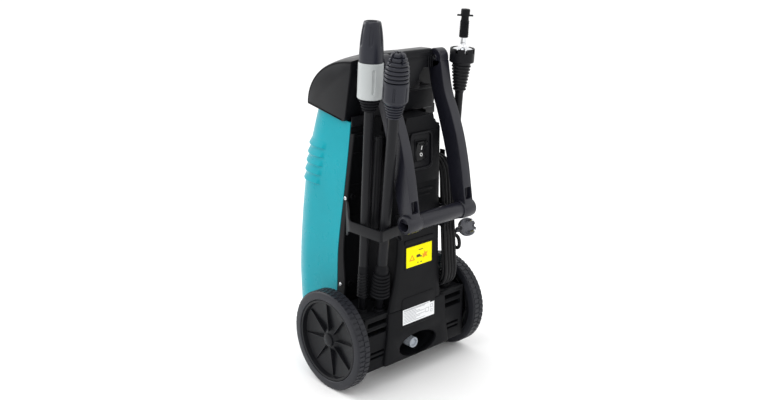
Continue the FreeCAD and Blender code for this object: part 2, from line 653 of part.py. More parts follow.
put(plug, PLUG_REAR.x, PLUG_REAR.y, PLUG_REAR.z, PLUG_TURN)
plug_pins = []
for side in (1, -1):
    foot = PLUG_REAR + PLUG_AXIS * 41 + PLUG_ACROSS * 9.5 * side
    plug_pins.append(cylinder("2.4", "20", foot.x, foot.y, foot.z, PLUG_TURN))
node(fuse([plug] + plug_pins), "mains_plug")


# ---------------------------------------------------------------- check and write

doc.recompute()
for item in doc.Objects:
    if "Invalid" in item.State or "Error" in item.State:
        raise RuntimeError(f"{item.Name} failed: {item.State}")
os.makedirs("parts", exist_ok=True)
for part in parts:
    shape = part.Shape
    if shape.isNull() or not shape.isValid():
        raise RuntimeError(f"{part.Label} has no valid shape")
    shape.exportStep(f"parts/{part.Label}.step")
print(len(parts), "parts written")
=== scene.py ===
"""Looks of an upright pressure washer, built around its CAD frame.

Lengths in this script are millimetres over the axle line: X along the axle, Y towards the
back, Z up from the floor. at() turns them into metres in the frame's own axes.
"""

import math

import bmesh
import bpy
from mathutils import Matrix, Vector


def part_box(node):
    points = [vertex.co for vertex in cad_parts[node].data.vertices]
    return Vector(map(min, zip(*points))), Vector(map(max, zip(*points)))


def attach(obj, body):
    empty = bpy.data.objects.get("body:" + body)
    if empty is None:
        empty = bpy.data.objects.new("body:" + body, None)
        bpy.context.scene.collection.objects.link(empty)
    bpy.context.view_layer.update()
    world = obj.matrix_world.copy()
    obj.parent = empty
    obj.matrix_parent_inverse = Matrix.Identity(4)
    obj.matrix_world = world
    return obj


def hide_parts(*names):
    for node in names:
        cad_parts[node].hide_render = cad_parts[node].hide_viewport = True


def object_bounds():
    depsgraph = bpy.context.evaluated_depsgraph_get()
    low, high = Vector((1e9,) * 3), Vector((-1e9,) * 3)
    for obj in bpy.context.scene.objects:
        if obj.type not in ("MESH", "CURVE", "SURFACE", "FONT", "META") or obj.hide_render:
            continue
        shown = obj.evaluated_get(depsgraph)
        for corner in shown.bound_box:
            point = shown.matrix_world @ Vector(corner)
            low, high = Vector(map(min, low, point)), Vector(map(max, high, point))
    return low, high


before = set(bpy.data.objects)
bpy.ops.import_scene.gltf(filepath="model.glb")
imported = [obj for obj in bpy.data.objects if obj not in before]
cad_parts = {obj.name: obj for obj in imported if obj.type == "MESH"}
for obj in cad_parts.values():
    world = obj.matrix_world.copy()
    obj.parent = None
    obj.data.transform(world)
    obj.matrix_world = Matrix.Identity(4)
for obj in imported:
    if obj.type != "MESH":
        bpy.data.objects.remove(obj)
cad_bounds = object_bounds()

MM = 0.001
AXLE_Y = sum(corner.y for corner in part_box("axle")) / 2
TURN = 2 * math.pi


def at(x, y, z):
    """A point in millimetres over the axle line, as metres in the frame."""
    return Vector((x * MM, y * MM + AXLE_Y, z * MM))


# ---------------------------------------------------------------- mesh helpers

def mesh_piece(name, points, faces):
    """A new mesh object from frame points and faces, with its normals made consistent."""
    mesh = bpy.data.meshes.new(name)
    mesh.from_pydata([tuple(p) for p in points], [], faces)
    work = bmesh.new()
    work.from_mesh(mesh)
    bmesh.ops.remove_doubles(work, verts=work.verts, dist=1e-6)
    bmesh.ops.recalc_face_normals(work, faces=work.faces)
    work.to_mesh(mesh)
    work.free()
    piece = bpy.data.objects.new(name, mesh)
    bpy.context.scene.collection.objects.link(piece)
    return piece


def applied(piece):
    """Bakes the modifiers of a piece into its mesh."""
    graph = bpy.context.evaluated_depsgraph_get()
    graph.update()
    mesh = bpy.data.meshes.new_from_object(piece.evaluated_get(graph))
    piece.modifiers.clear()
    piece.data = mesh
    return piece


def rounded_edges(piece, width, segments=2, angle=35):
    """Rounds the sharp edges of a piece."""
    bevel = piece.modifiers.new("Round", "BEVEL")
    bevel.width = width * MM
    bevel.segments = segments
    bevel.limit_method = "ANGLE"
    bevel.angle_limit = math.radians(angle)
    bevel.use_clamp_overlap = True
    return applied(piece)


def carved(piece, cutters):
    """Takes the cutters away from a piece and deletes them."""
    for cutter in cutters:
        carve = piece.modifiers.new("Carve", "BOOLEAN")
        carve.operation = "DIFFERENCE"
        carve.solver = "EXACT"
        carve.object = cutter
    applied(piece)
    for cutter in cutters:
        bpy.data.objects.remove(cutter)
    return piece


QUADS = [(0, 1, 3, 2), (4, 5, 7, 6), (0, 1, 5, 4), (2, 3, 7, 6), (0, 2, 6, 4), (1, 3, 7, 5)]


def eight_cornered(name, bodies):
    """One mesh of six-sided bodies, each given by its eight corners."""
    faces = [tuple(8 * k + i for i in quad) for k in range(len(bodies)) for quad in QUADS]
    return mesh_piece(name, [corner for body in bodies for corner in body], faces)


def joined(name, pieces):
    """Several meshes as one piece."""
    work = bmesh.new()
    for piece in pieces:
        work.from_mesh(piece.data)
    mesh = bpy.data.meshes.new(name)
    work.to_mesh(mesh)
    work.free()
    for piece in pieces:
        bpy.data.objects.remove(piece)
    whole = bpy.data.objects.new(name, mesh)
    bpy.context.scene.collection.objects.link(whole)
    return whole


def finished(piece, paint, body="chassis", smooth=38):
    """Shades, paints and rides a piece; one called NODE_detail stands for that CAD node."""
    piece.data.shade_smooth()
    piece.data.set_sharp_from_angle(angle=math.radians(smooth))
    piece.data.materials.clear()
    piece.data.materials.append(paint)
    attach(piece, body)
    if piece.name.endswith("_detail"):
        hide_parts(piece.name.removesuffix("_detail"))
    return piece


def loft(name, rings, capped=True):
    """A skin over closed rings of equally many frame points."""
    count = len(rings[0])
    points = [p for ring in rings for p in ring]
    faces = []
    for k in range(len(rings) - 1):
        for i in range(count):
            j = (i + 1) % count
            faces.append((k * count + i, k * count + j, (k + 1) * count + j, (k + 1) * count + i))
    if capped:
        faces.append(tuple(range(count)))
        faces.append(tuple((len(rings) - 1) * count + i for i in range(count)))
    return mesh_piece(name, points, faces)


PLANES = {
    "XY": lambda u, v, w: at(u, v, w),
    "XZ": lambda u, v, w: at(u, w, v),
    "YZ": lambda u, v, w: at(w, u, v),
}


def slab(name, outline, plane, low, high, bevel=0.0, segments=2):
    """An outline, given in a plane, pulled from low to high along that plane's normal."""
    place = PLANES[plane]
    piece = loft(name, [[place(u, v, w) for u, v in outline] for w in (low, high)])
    return rounded_edges(piece, bevel, segments) if bevel else piece


def block(name, x, y, z, bevel=0.0, segments=2):
    """A box from an x pair in either order and two (low, high) pairs."""
    x = sorted(x)
    outline = [(x[0], y[0]), (x[1], y[0]), (x[1], y[1]), (x[0], y[1])]
    return slab(name, outline, "XY", z[0], z[1], bevel, segments)


def rounded_outline(half_u, half_v, radius, centre=(0, 0), steps=6):
    """A rectangle with round corners."""
    outline = []
    for quarter, (su, sv) in enumerate(((1, 1), (-1, 1), (-1, -1), (1, -1))):
        for step in range(steps + 1):
            angle = (quarter + step / steps) * TURN / 4
            outline.append((centre[0] + su * (half_u - radius) + radius * math.cos(angle),
                            centre[1] + sv * (half_v - radius) + radius * math.sin(angle)))
    return outline


def axis_matrix(foot, direction):
    """Maps millimetres about a piece's own axis onto the frame."""
    turn = Vector(direction).normalized().to_track_quat("Z", "Y").to_matrix().to_4x4()
    return Matrix.Translation(at(*foot)) @ turn @ Matrix.Scale(MM, 4)


def lathe(name, profile, place, segments=64, shape=None):
    """A closed profile of (radius, height) turned about an axis; shape(r, h, angle) may
    change the radius round the turn."""
    shape = shape or (lambda r, h, angle: r)
    points = []
    for step in range(segments):
        angle = TURN * step / segments
        for r, h in profile:
            radius = shape(r, h, angle)
            points.append(place @ Vector((radius * math.cos(angle), radius * math.sin(angle), h)))
    count = len(profile)
    faces = []
    for step in range(segments):
        after = (step + 1) % segments
        for i in range(count):
            j = (i + 1) % count
            faces.append((step * count + i, step * count + j, after * count + j,
                          after * count + i))
    return mesh_piece(name, points, faces)


def smoothstep(low, high, value):
    """0 below low, 1 above high, smooth between."""
    share = min(1.0, max(0.0, (value - low) / (high - low)))
    return share * share * (3 - 2 * share)


# ---------------------------------------------------------------- materials

def node_tree(name):
    """A new material, its node tree and its shader."""
    paint = bpy.data.materials.new(name)
    paint.use_nodes = True
    return paint, paint.node_tree, paint.node_tree.nodes["Principled BSDF"]


def noise(tree, scale, detail=4.0, stretch=(1, 1, 1)):
    """Noise over the piece's own coordinates, in features of 1 / scale metres."""
    place = tree.nodes.new("ShaderNodeTexCoord")
    mapping = tree.nodes.new("ShaderNodeMapping")
    mapping.inputs["Scale"].default_value = stretch
    texture = tree.nodes.new("ShaderNodeTexNoise")
    texture.inputs["Scale"].default_value = scale
    texture.inputs["Detail"].default_value = detail
    tree.links.new(place.outputs["Object"], mapping.inputs["Vector"])
    tree.links.new(mapping.outputs["Vector"], texture.inputs["Vector"])
    return texture.outputs["Fac"]


def ramp(tree, value, stops):
    """Colours along a value; stops are (position, colour) pairs."""
    band = tree.nodes.new("ShaderNodeValToRGB")
    elements = band.color_ramp.elements
    while len(elements) < len(stops):
        elements.new(0.5)
    for element, (position, colour) in zip(elements, stops):
        element.position = position
        element.color = (*colour, 1)
    tree.links.new(value, band.inputs["Fac"])
    return band.outputs["Color"]


def remapped(tree, value, low, high):
    """A 0 to 1 value spread over low to high."""
    spread = tree.nodes.new("ShaderNodeMapRange")
    spread.inputs["From Min"].default_value = 0.3
    spread.inputs["From Max"].default_value = 0.7
    spread.inputs["To Min"].default_value = low
    spread.inputs["To Max"].default_value = high
    tree.links.new(value, spread.inputs["Value"])
    return spread.outputs["Result"]


def bumped(tree, shader, value, distance, strength=1.0):
    """Relief on a shader from a height value."""
    bump = tree.nodes.new("ShaderNodeBump")
    bump.inputs["Distance"].default_value = distance
    bump.inputs["Strength"].default_value = strength
    tree.links.new(value, bump.inputs["Height"])
    tree.links.new(bump.outputs["Normal"], shader.inputs["Normal"])


def plastic(name, colour, rough, grain=1500, relief=0.00004, coat=0.0, shade=0.14, gloss=0.09):
    """Moulded plastic: fine grain, faint cloudy shading and uneven gloss."""
    paint, tree, shader = node_tree(name)
    cloud = noise(tree, 14, 3)
    dark = tuple(c * (1 - shade) for c in colour)
    light = tuple(min(1, c * (1 + shade)) for c in colour)
    tree.links.new(ramp(tree, cloud, [(0.3, dark), (0.7, light)]), shader.inputs["Base Color"])
    smear = noise(tree, 45, 4)
    tree.links.new(remapped(tree, smear, rough - 0.05, rough + 0.06), shader.inputs["Roughness"])
    shader.inputs["Specular IOR Level"].default_value = gloss
    shader.inputs["Coat Weight"].default_value = coat
    shader.inputs["Coat Roughness"].default_value = 0.12
    bumped(tree, shader, noise(tree, grain, 2), relief)
    return paint


def metal(name, colour, rough, stretch=(1, 1, 1), scale=900):
    """Metal with fine drawn or cast marks."""
    paint, tree, shader = node_tree(name)
    shader.inputs["Metallic"].default_value = 1.0
    marks = noise(tree, scale, 3, stretch)
    dark = tuple(c * 0.86 for c in colour)
    tree.links.new(ramp(tree, marks, [(0.35, dark), (0.65, colour)]), shader.inputs["Base Color"])
    tree.links.new(remapped(tree, marks, rough * 0.8, rough * 1.3), shader.inputs["Roughness"])
    bumped(tree, shader, marks, 0.00003)
    return paint


TEAL = plastic("teal_plastic", (0.0, 0.26, 0.315), 0.30, grain=600, relief=0.00001, shade=0.05,
               gloss=0.14)
BLACK = plastic("black_plastic", (0.005, 0.0052, 0.0062), 0.47)
BLACK_GLOSS = plastic("black_satin", (0.005, 0.0052, 0.0066), 0.33, relief=0.00003, gloss=0.14)
HANDLE = plastic("handle_black", (0.010, 0.0102, 0.016), 0.34, relief=0.00003, gloss=0.36)
WHEEL = plastic("wheel_black", (0.006, 0.0063, 0.0078), 0.36, relief=0.00003, gloss=0.16)
TREAD = plastic("tread_black", (0.013, 0.0137, 0.018), 0.46, relief=0.00005, gloss=0.25)
TUBE = plastic("lance_black", (0.008, 0.0083, 0.0098), 0.40, relief=0.00003, gloss=0.16)
GRIP = plastic("grip_black", (0.006, 0.0062, 0.0075), 0.50)
HEAD = plastic("head_grey", (0.012, 0.013, 0.020), 0.36, grain=1800, gloss=0.30)
COLLAR = plastic("collar_grey", (0.40, 0.42, 0.42), 0.38, relief=0.00002, shade=0.04, gloss=0.3)
CORD = plastic("cord_black", (0.007, 0.007, 0.008), 0.42, grain=900, gloss=0.16)
PLUG = plastic("plug_black", (0.085, 0.087, 0.100), 0.36, gloss=0.4)
FITTING = plastic("fitting_grey", (0.34, 0.37, 0.41), 0.38, shade=0.06, gloss=0.4)
FAN = plastic("fan_grey", (0.32, 0.32, 0.32), 0.5)
STEEL = metal("steel", (0.60, 0.61, 0.63), 0.28, stretch=(1, 1, 0.1))
CHROME = metal("chrome", (0.82, 0.83, 0.85), 0.07)
BRASS = metal("brass", (0.72, 0.52, 0.22), 0.3)
ALUMINIUM = metal("aluminium", (0.70, 0.71, 0.73), 0.42, scale=700)
IRON = metal("motor_iron", (0.28, 0.28, 0.30), 0.55, stretch=(0.2, 0.2, 6), scale=400)


# ---------------------------------------------------------------- camera, light, floor

def studio():
    """Camera at the machine's left rear, soft light, pale floor."""
    camera = bpy.data.objects.new("Camera", bpy.data.cameras.new("Camera"))
    bpy.context.scene.collection.objects.link(camera)
    right = Vector((-0.7376, 0.6752, 0.0))
    up = Vector((-0.1936, -0.2115, 0.9580))
    back = right.cross(up)
    turn = Matrix((right, up, back)).transposed().to_4x4()
    camera.matrix_world = Matrix.Translation(at(1037.9, 1129.4, 775.0)) @ turn
    camera.data.lens = 41.309
    camera.data.sensor_width = 36
    bpy.context.scene.camera = camera

    world = bpy.data.worlds.new("World")
    bpy.context.scene.world = world
    world.use_nodes = True
    sky = world.node_tree.nodes["Background"]
    sky.inputs["Color"].default_value = (1.0, 1.0, 1.0, 1)
    sky.inputs["Strength"].default_value = 1.15

    middle = (cad_bounds[0] + cad_bounds[1]) / 2
    lights = [("key", (2.2, 0.6, 2.6), 1.6, 22), ("fill", (-1.4, 2.4, 1.6), 1.8, 6),
              ("front", (1.2, -2.6, 1.4), 1.4, 36), ("top", (0.0, -0.2, 3.0), 2.2, 16)]
    for name, offset, width, power in lights:
        lamp = bpy.data.lights.new(name, "AREA")
        lamp.size = width
        lamp.energy = power
        holder = bpy.data.objects.new(name, lamp)
        bpy.context.scene.collection.objects.link(holder)
        holder.location = middle + Vector(offset)
        holder.rotation_euler = (-Vector(offset)).to_track_quat("-Z", "Y").to_euler()

    floor = mesh_piece("floor", [(x, y, -0.0004) for x, y in
                                 ((-20, -20), (20, -20), (20, 20), (-20, 20))], [(0, 1, 2, 3)])
    paint, tree, shader = node_tree("floor")
    tone = ramp(tree, noise(tree, 3, 2), [(0.3, (0.90, 0.90, 0.90)), (0.7, (0.92, 0.92, 0.92))])
    tree.links.new(tone, shader.inputs["Base Color"])
    shader.inputs["Roughness"].default_value = 0.7
    floor.data.materials.append(paint)
    view = bpy.context.scene.view_settings
    view.view_transform = "Standard"


studio()


# ---------------------------------------------------------------- wheels

WHEEL_RADIUS = 90
WHEEL_INNER_X = 129
WHEEL_RIBS = 8
LUGS = 58


def tread_lug(place, angle, low, high, half_angle, radii=(88.2, WHEEL_RADIUS)):
    """One raised block on a round surface, narrower at its top."""
    points = []
    for radius, share, shorten in ((radii[0], 1.0, 0.0), (radii[1], 0.86, 0.6)):
        for height in (low + shorten, high - shorten):
            for turn in (-half_angle * share, half_angle * share):
                points.append(place @ Vector((radius * math.cos(angle + turn),
                                              radius * math.sin(angle + turn), height)))
    return points


def tyre(side, name):
    """Hard tyre with smooth walls and two staggered rows of lugs."""
    place = axis_matrix((side * WHEEL_INNER_X, 0, WHEEL_RADIUS), (side, 0, 0))
    wall = [(74.2, 1.5), (75.5, 0.3), (85.8, 0.3), (87.6, 1.2), (88.6, 2.8), (88.7, 13),
            (88.7, 24.2), (87.6, 25.8), (85.8, 26.7), (75.5, 26.7), (74.2, 25.5)]
    ring = lathe(name, wall, place, segments=128)
    lugs = [tread_lug(place, TURN * (k + 0.5 * row) / LUGS, low, high, 0.40 * TURN / LUGS)
            for k in range(LUGS) for row, (low, high) in enumerate(((2.2, 13.4), (13.9, 24.8)))]
    piece = joined(f"wheel_tread_{name}_detail", [ring, eight_cornered(name + "_lugs", lugs)])
    finished(piece, TREAD, f"wheel_{name}", smooth=30)


def disc_rib(place, angle, inner, outer, thickness):
    """A thin radial web: its inner and outer edges are (radius, low, high)."""
    across = Vector((-math.sin(angle), math.cos(angle), 0)) * thickness / 2
    along = Vector((math.cos(angle), math.sin(angle), 0))
    points = []
    for radius, low, high in (inner, outer):
        for height, thin in ((low, 1.0), (high, 0.45)):
            for sign in (-1, 1):
                points.append(place @ (along * radius + across * sign * thin
                                       + Vector((0, 0, height))))
    return points


def wheel(side, name):
    """Dished wheel disc with a domed hub and eight thin ribs, and its tyre and hub cap."""
    tyre(side, name)
    place = axis_matrix((side * WHEEL_INNER_X, 0, WHEEL_RADIUS), (side, 0, 0))
    face = [(5.1, 1), (16, 1), (17, 2), (17, 8.6), (58, 8.6), (64, 3), (67, 1.8), (72.8, 1.8),
            (73.6, 2.8), (73.6, 24.6), (72.8, 25.4), (70.2, 25.4), (69.2, 24.8), (67.6, 17.2),
            (65, 16.0), (26, 12.4), (21, 13.4), (16.5, 18.4), (13.5, 20.2), (5.1, 20.2)]
    disc = lathe(name, face, place, segments=128)
    edges = (((13, 12, 20.0), (66.5, 12, 18.6)), ((15, 9.5, 3.5), (62, 9.5, 4.5)))
    ribs = [disc_rib(place, TURN * (k + 0.15) / WHEEL_RIBS, inner, outer, 2.6)
            for k in range(WHEEL_RIBS) for inner, outer in edges]
    piece = joined(f"wheel_disc_{name}_detail", [disc, eight_cornered(name + "_ribs", ribs)])
    finished(piece, WHEEL, f"wheel_{name}", smooth=30)
    cap = [(0, 20.3), (11.6, 20.3), (12, 20.8), (11.4, 23.0), (8.6, 24.6), (4, 25.3), (0, 25.5)]
    return lathe(name + "_cap", cap, place, segments=48)


caps = joined("axle_clips_detail", [wheel(1, "left"), wheel(-1, "right")])
finished(caps, WHEEL)


# ---------------------------------------------------------------- covers

# Side profile of the body: height, front of the shell, seam, and floor of the rear pockets.
FRONT = [(60, -190), (138, -193), (174, -193), (239, -187), (336, -172), (405, -154),
         (470, -131), (486, -124)]
SEAM = [(60, -42), (138, -41), (174, -39), (239, -35), (336, -18), (405, -6), (470, 4), (486, 6)]
POCKET = [(60, -22), (138, -20), (174, -17), (239, -20), (336, -7), (405, 4), (470, 16),
          (486, 19)]
BODY_HALF = 97
COLUMN_HALF = 50
SHELL_WALL = 3
SHELL_CORNER = 70
COLUMN_BACK = 71
LABEL_Z = 231.5
HOOD_HALF = 105
HOOD_FRONT, HOOD_BOW = -102, 44
HOOD_TOP, HOOD_CROWN = 574, 8
HOOD_EDGE = 491
HOOD_SLOPE = 0.177
HOOD_CREST_Y = 16
LOUVRES = [351.4 + 16.8 * k for k in range(5)]
LOUVRE_REACH = 6.4
LOUVRE_DEPTH = 3.6
LOUVRE_LIP = 0.75


def eased(table, z):
    """Smooth reading of a table of (height, value) pairs, with even tangents."""
    last = len(table) - 1
    k = next((i for i in range(last) if z <= table[i + 1][0]), last - 1)
    (z0, v0), (z1, v1) = table[k], table[k + 1]
    before, after = table[max(0, k - 1)], table[min(last, k + 2)]
    slope0 = (v1 - before[1]) / (z1 - before[0])
    slope1 = (after[1] - v0) / (after[0] - z0)
    share, span = (z - z0) / (z1 - z0), z1 - z0
    share2, share3 = share ** 2, share ** 3
    return ((2 * share3 - 3 * share2 + 1) * v0 + (share3 - 2 * share2 + share) * span * slope0
            + (3 * share2 - 2 * share3) * v1 + (share3 - share2) * span * slope1)


def louvre(z):
    """How far the gill-shaped louvres stand out at a height: a slope over a sharp lower lip."""
    nearest = min(LOUVRES, key=lambda middle: abs(middle - z))
    drop = (nearest - z) / LOUVRE_REACH
    if drop > LOUVRE_LIP:
        return max(0.0, 1 - (drop - LOUVRE_LIP) / (1 - LOUVRE_LIP))
    return max(0.0, (drop + 1) / (1 + LOUVRE_LIP))


def shell_ring(z, inset):
    """Plan of the front shell at one height, from the left seam round to the right one."""
    half, radius = BODY_HALF - inset, SHELL_CORNER - inset
    seam, nose = eased(SEAM, z), eased(FRONT, z) + inset
    stand_out = LOUVRE_DEPTH * louvre(z) if not inset else 0.0
    points = []
    start = nose + radius
    for k in range(31):
        y = seam + (start - seam) * k / 30
        points.append((half, y, 1 - smoothstep(10, 17, y - start)))
    for k in range(1, 24):
        angle = TURN / 4 * k / 24
        points.append((half - radius + radius * math.cos(angle),
                       nose + radius - radius * math.sin(angle),
                       smoothstep(0.08, 0.16, 1 - k / 24)))
    flat = half - radius
    right = [(flat, nose, 0.0)] + [(-x, y, w) for x, y, w in reversed(points)]
    ring = []
    for x, y, weight in points + right:
        outward = Vector((math.copysign(max(abs(x) - flat, 0), x), min(y - start, 0), 0))
        push = outward.normalized() * stand_out * weight if weight else Vector((0, 0, 0))
        under_hood = 489 - max(0, y - HOOD_FRONT) * HOOD_SLOPE
        ring.append(at(x + push.x, y + push.y, min(z, under_hood)))
    return ring


def front_shell():
    """The coloured cover, a thin wall with five louvres round each front corner."""
    heights = [60 + 6 * k for k in range(46)] + [336 + 0.8 * k for k in range(113)]
    heights += [426.4 + 4.26 * k for k in range(15)]
    rings = [shell_ring(z, 0) + shell_ring(z, SHELL_WALL)[::-1] for z in heights]
    piece = loft("front_shell_detail", rings)
    finished(piece, TEAL, smooth=50)


def hood_arc(x, inset=0.0, steps=20):
    """The hood's curved front and top at one X, from its front edge to its crest."""
    share = 1 - (x / HOOD_HALF) ** 2
    tip = HOOD_FRONT - HOOD_BOW * share + inset
    crest = HOOD_TOP + HOOD_CROWN * share - inset
    points = []
    for k in range(steps + 1):
        angle = TURN / 4 * k / steps
        points.append((HOOD_CREST_Y - (HOOD_CREST_Y - tip) * math.cos(angle),
                       HOOD_EDGE + (crest - HOOD_EDGE) * math.sin(angle)))
    return points


def hood_ring(x, inset=0.0):
    """Side profile of the hood at one X: the arc, a soft crest, and a straight lower edge."""
    arc = hood_arc(x, inset)
    front = arc[0][0]
    heel = [(HOOD_CREST_Y - inset, 560), (-3, 474), (-9, 471.5 + inset)]
    toe = [(front + 8, 488 + inset), (front + 2, 489 + inset)]
    return [at(x, y, z) for y, z in arc + heel + toe]


def hose_hood():
    """The hose rest over the top front, with a thin rim round each cheek."""
    ends = [HOOD_HALF - 2.5, HOOD_HALF - 0.8, HOOD_HALF]
    stations = [-x for x in reversed(ends)] + [-96 + 12 * k for k in range(17)] + ends
    edge = {0: 2.2, 1: 0.7, len(stations) - 2: 0.7, len(stations) - 1: 2.2}
    rings = [hood_ring(x, edge.get(k, 0.0)) for k, x in enumerate(stations)]
    pieces = [loft("hood", rings)]
    for side in (1, -1):
        outer, inner = hood_arc(HOOD_HALF, 0.3), hood_arc(HOOD_HALF, 3.6)
        lower = [(-101, 490.5), (-9, 472.5), (-9, 476), (-101, 494)]
        pieces += [slab("rim", outline, "YZ", side * (HOOD_HALF - 1), side * HOOD_HALF, 0.4)
                   for outline in (outer + inner[::-1], lower)]
    piece = joined("hose_hood_detail", pieces)
    finished(piece, BLACK_GLOSS, smooth=32)


FLARE = [(138, 70), (150, 68), (165, 64), (182, 59.5), (200, 56), (225, 52.5), (252, 50),
         (480, 50)]


def column_half(z, side):
    """Half width of the column's back; the foot flares, less where the cord hangs."""
    spread = eased(FLARE, z) - COLUMN_HALF
    return COLUMN_HALF + spread * (1.0 if side > 0 else 0.3)


def housing_half_ring(z, side):
    """One side of the rear housing's plan, from the seam to the middle of the back."""
    seam, floor = eased(SEAM, z) + 0.8, eased(POCKET, z)
    flare = column_half(z, side)
    root = 52
    corners = [(BODY_HALF - 0.6, seam), (BODY_HALF, seam + 0.8), (BODY_HALF, floor - 1.2),
               (BODY_HALF - 1.2, floor), (BODY_HALF - 4, floor), (BODY_HALF - 4.6, floor - 2.2),
               (root + 6, floor - 2.2), (root + 1.5, floor - 1), (root, floor + 2),
               (51.2, 40), (50.6 + 0.25 * (flare - COLUMN_HALF), 56), (flare, 65), (flare, 67.4),
               (flare - 1.2, 69.8), (flare - 3.6, COLUMN_BACK), (flare - 12, COLUMN_BACK)]
    return [at(side * x, y, z) for x, y in corners]


def raised(name, half_x, z_low, z_high, height, radius, bevel=0.8):
    """A raised panel on the back of the column."""
    middle, half_z = (z_low + z_high) / 2, (z_high - z_low) / 2
    outline = rounded_outline(half_x, half_z, radius, (0, middle))
    return slab(name, outline, "XZ", COLUMN_BACK - 2, COLUMN_BACK + height, bevel)


def rear_housing():
    """The black rear moulding: column, flank rails, pockets, and panels round the labels."""
    heights = [138.5 + 6 * k for k in range(57)] + [476, 479]
    body = loft("housing", [housing_half_ring(z, 1) + housing_half_ring(z, -1)[::-1]
                            for z in heights])
    rounded_edges(body, 1.4, 2, 60)
    cutters = [slab("window", rounded_outline(21, 28, 5, (0, 420)), "XZ", 60, 80)]
    for side in (1, -1):
        shoulder = [(51.5, 482), (51.5, 454), (49, 454.5), (44, 458), (38, 465), (33, 471),
                    (30, 482)]
        cutters.append(slab("shoulder", [(side * x, z) for x, z in shoulder], "XZ", 22, 80))
        cutters.append(block("flank", (side * 53.5, side * 99), (5, 40), (452, 484)))
    carved(body, cutters)
    pieces = [body]
    for side in (1, -1):
        for z in (300, 358, 416, 446):
            floor = eased(POCKET, z)
            pieces.append(block("pocket_rib", (side * 53, side * 92),
                                (floor - 4, floor - 0.6), (z, z + 2.4), 0.5))
        for z in (336, 172):
            floor = eased(POCKET, z)
            boss = axis_matrix((side * 84, floor - 3, z + 2), (0, 1, 0))
            pieces.append(lathe("boss", [(2.4, 0), (6, 0), (6, 3.4), (5.4, 4), (2.4, 4)], boss, 32))
    pieces += [raised("upper", 45, 362, 452, 1.3, 7),
               raised("step", 30, 346, 352, 1.6, 2.6, 1.2),
               raised("step_low", 24, 338, 341.5, 0.9, 1.6, 0.7),
               raised("label_step", 36, 255, 264, 1.4, 4, 1.3),
               slab("label_rim", rounded_outline(34.5, 22, 3, (0, LABEL_Z)), "XZ", 69, 71.5, 0.4),
               lathe("knob", [(0.01, 0), (5.6, 0), (5.6, 6.4), (4.6, 7.6), (0.01, 7.8)],
                     axis_matrix((-45, 64, 453), (0, 0, 1)), 32)]
    piece = joined("rear_housing_detail", pieces)
    finished(piece, BLACK, smooth=32)


front_shell()
hose_hood()
rear_housing()


# ---------------------------------------------------------------- base

def base_frame():
    """The base moulding: nose under the shell, axle housing with vent slots, foot panel."""
    plan = [(-92.5, -120), (-45, -180), (45, -180), (92.5, -120), (92.5, -38), (124, -38),
            (124, 65), (-124, 65), (-124, -38), (-92.5, -38)]
    body = slab("base", plan, "XY", 38, 138, 2.4, 3)
    foot = slab("foot", [(-81, 38.3), (81, 38.3), (77.5, 66), (73, 94), (70.2, 138.2),
                         (-70.2, 138.2), (-73, 94), (-77.5, 66)], "XZ", 56, COLUMN_BACK, 4.5, 4)
    oval = [(46 * math.cos(TURN * k / 64), 61.5 + 21.5 * math.sin(TURN * k / 64))
            for k in range(64)]
    for holed in (body, foot):
        carved(holed, [slab("window", oval, "XZ", 24, 80)])
    slots = []
    for side in (1, -1):
        for x, half, low, high, radius, floor in (
                (88, 28, 121.5, 130.5, 1.5, 40), (88, 28, 105, 114.5, 1.5, 40),
                (94, 17, 69, 73.5, 1.2, 50), (94, 17, 60, 64.5, 1.2, 50)):
            outline = rounded_outline(half, (high - low) / 2, radius, (side * x, (low + high) / 2))
            slots.append(slab("slot", outline, "XZ", floor, 70))
    carved(body, slots)
    pieces = [rounded_edges(body, 0.8, 2, 50), rounded_edges(foot, 0.9, 2, 50)]
    for side in (1, -1):
        pieces.append(block("deck_edge", (side * 58, side * 122), (57, 66.2),
                            (135, 140.5), 1.2))
        pieces.append(block("mid_bar", (side * 60, side * 116), (60, 65.9),
                            (116.6, 119.4), 0.8))
        socket = axis_matrix((side * 95.8, 27.4 if side > 0 else 41.2, 137.5), (0, 0, 1))
        pieces.append(lathe("socket", [(8.2, 0), (12, 0), (11.2, 6), (8.2, 6)], socket, 48))
    turbo_socket = axis_matrix((72.8, 46, 137.5), (0, 0, 1))
    pieces.append(lathe("socket", [(8.6, 0), (12, 0), (11.2, 6), (8.6, 6)], turbo_socket, 48))
    pieces.append(slab("arch", rounded_outline(41, 28.5, 8, (0, 129)), "XZ", 66,
                       COLUMN_BACK + 0.9, 0.7, 3))
    piece = joined("base_frame_detail", pieces)
    finished(piece, BLACK, smooth=32)


def front_feet():
    """Rubber feet with a rounded sole and a shallow groove."""
    pieces = []
    for side in (1, -1):
        place = axis_matrix((side * 62, -150, 0), (0, 0, 1))
        profile = [(0, 0), (10.5, 0), (12.4, 0.8), (13, 2.4), (13, 30), (11.8, 31), (11.8, 33),
                   (13, 34), (13, 37.9), (0, 37.9)]
        pieces.append(lathe("foot", profile, place, 64))
    finished(joined("front_feet_detail", pieces), CORD)


def inlet_fitting():
    """Pipe and screwed nipple of the water inlet, with thread rings and an end rim."""
    place = axis_matrix((0, -23.8, 58), (0, 1, 0))
    profile = [(6.1, 0), (8, 0), (8, 65.5), (10, 66)]
    for k in range(4):
        h = 68 + 3 * k
        profile += [(10, h), (9.1, h + 0.9), (9.1, h + 1.6), (10, h + 2.4)]
    profile += [(10, 83.2), (9.4, 84), (7.2, 84), (6.6, 83), (6.1, 78)]
    finished(lathe("inlet_fitting_detail", profile, place, 64), FITTING)


base_frame()
front_feet()
inlet_fitting()


# ---------------------------------------------------------------- handle

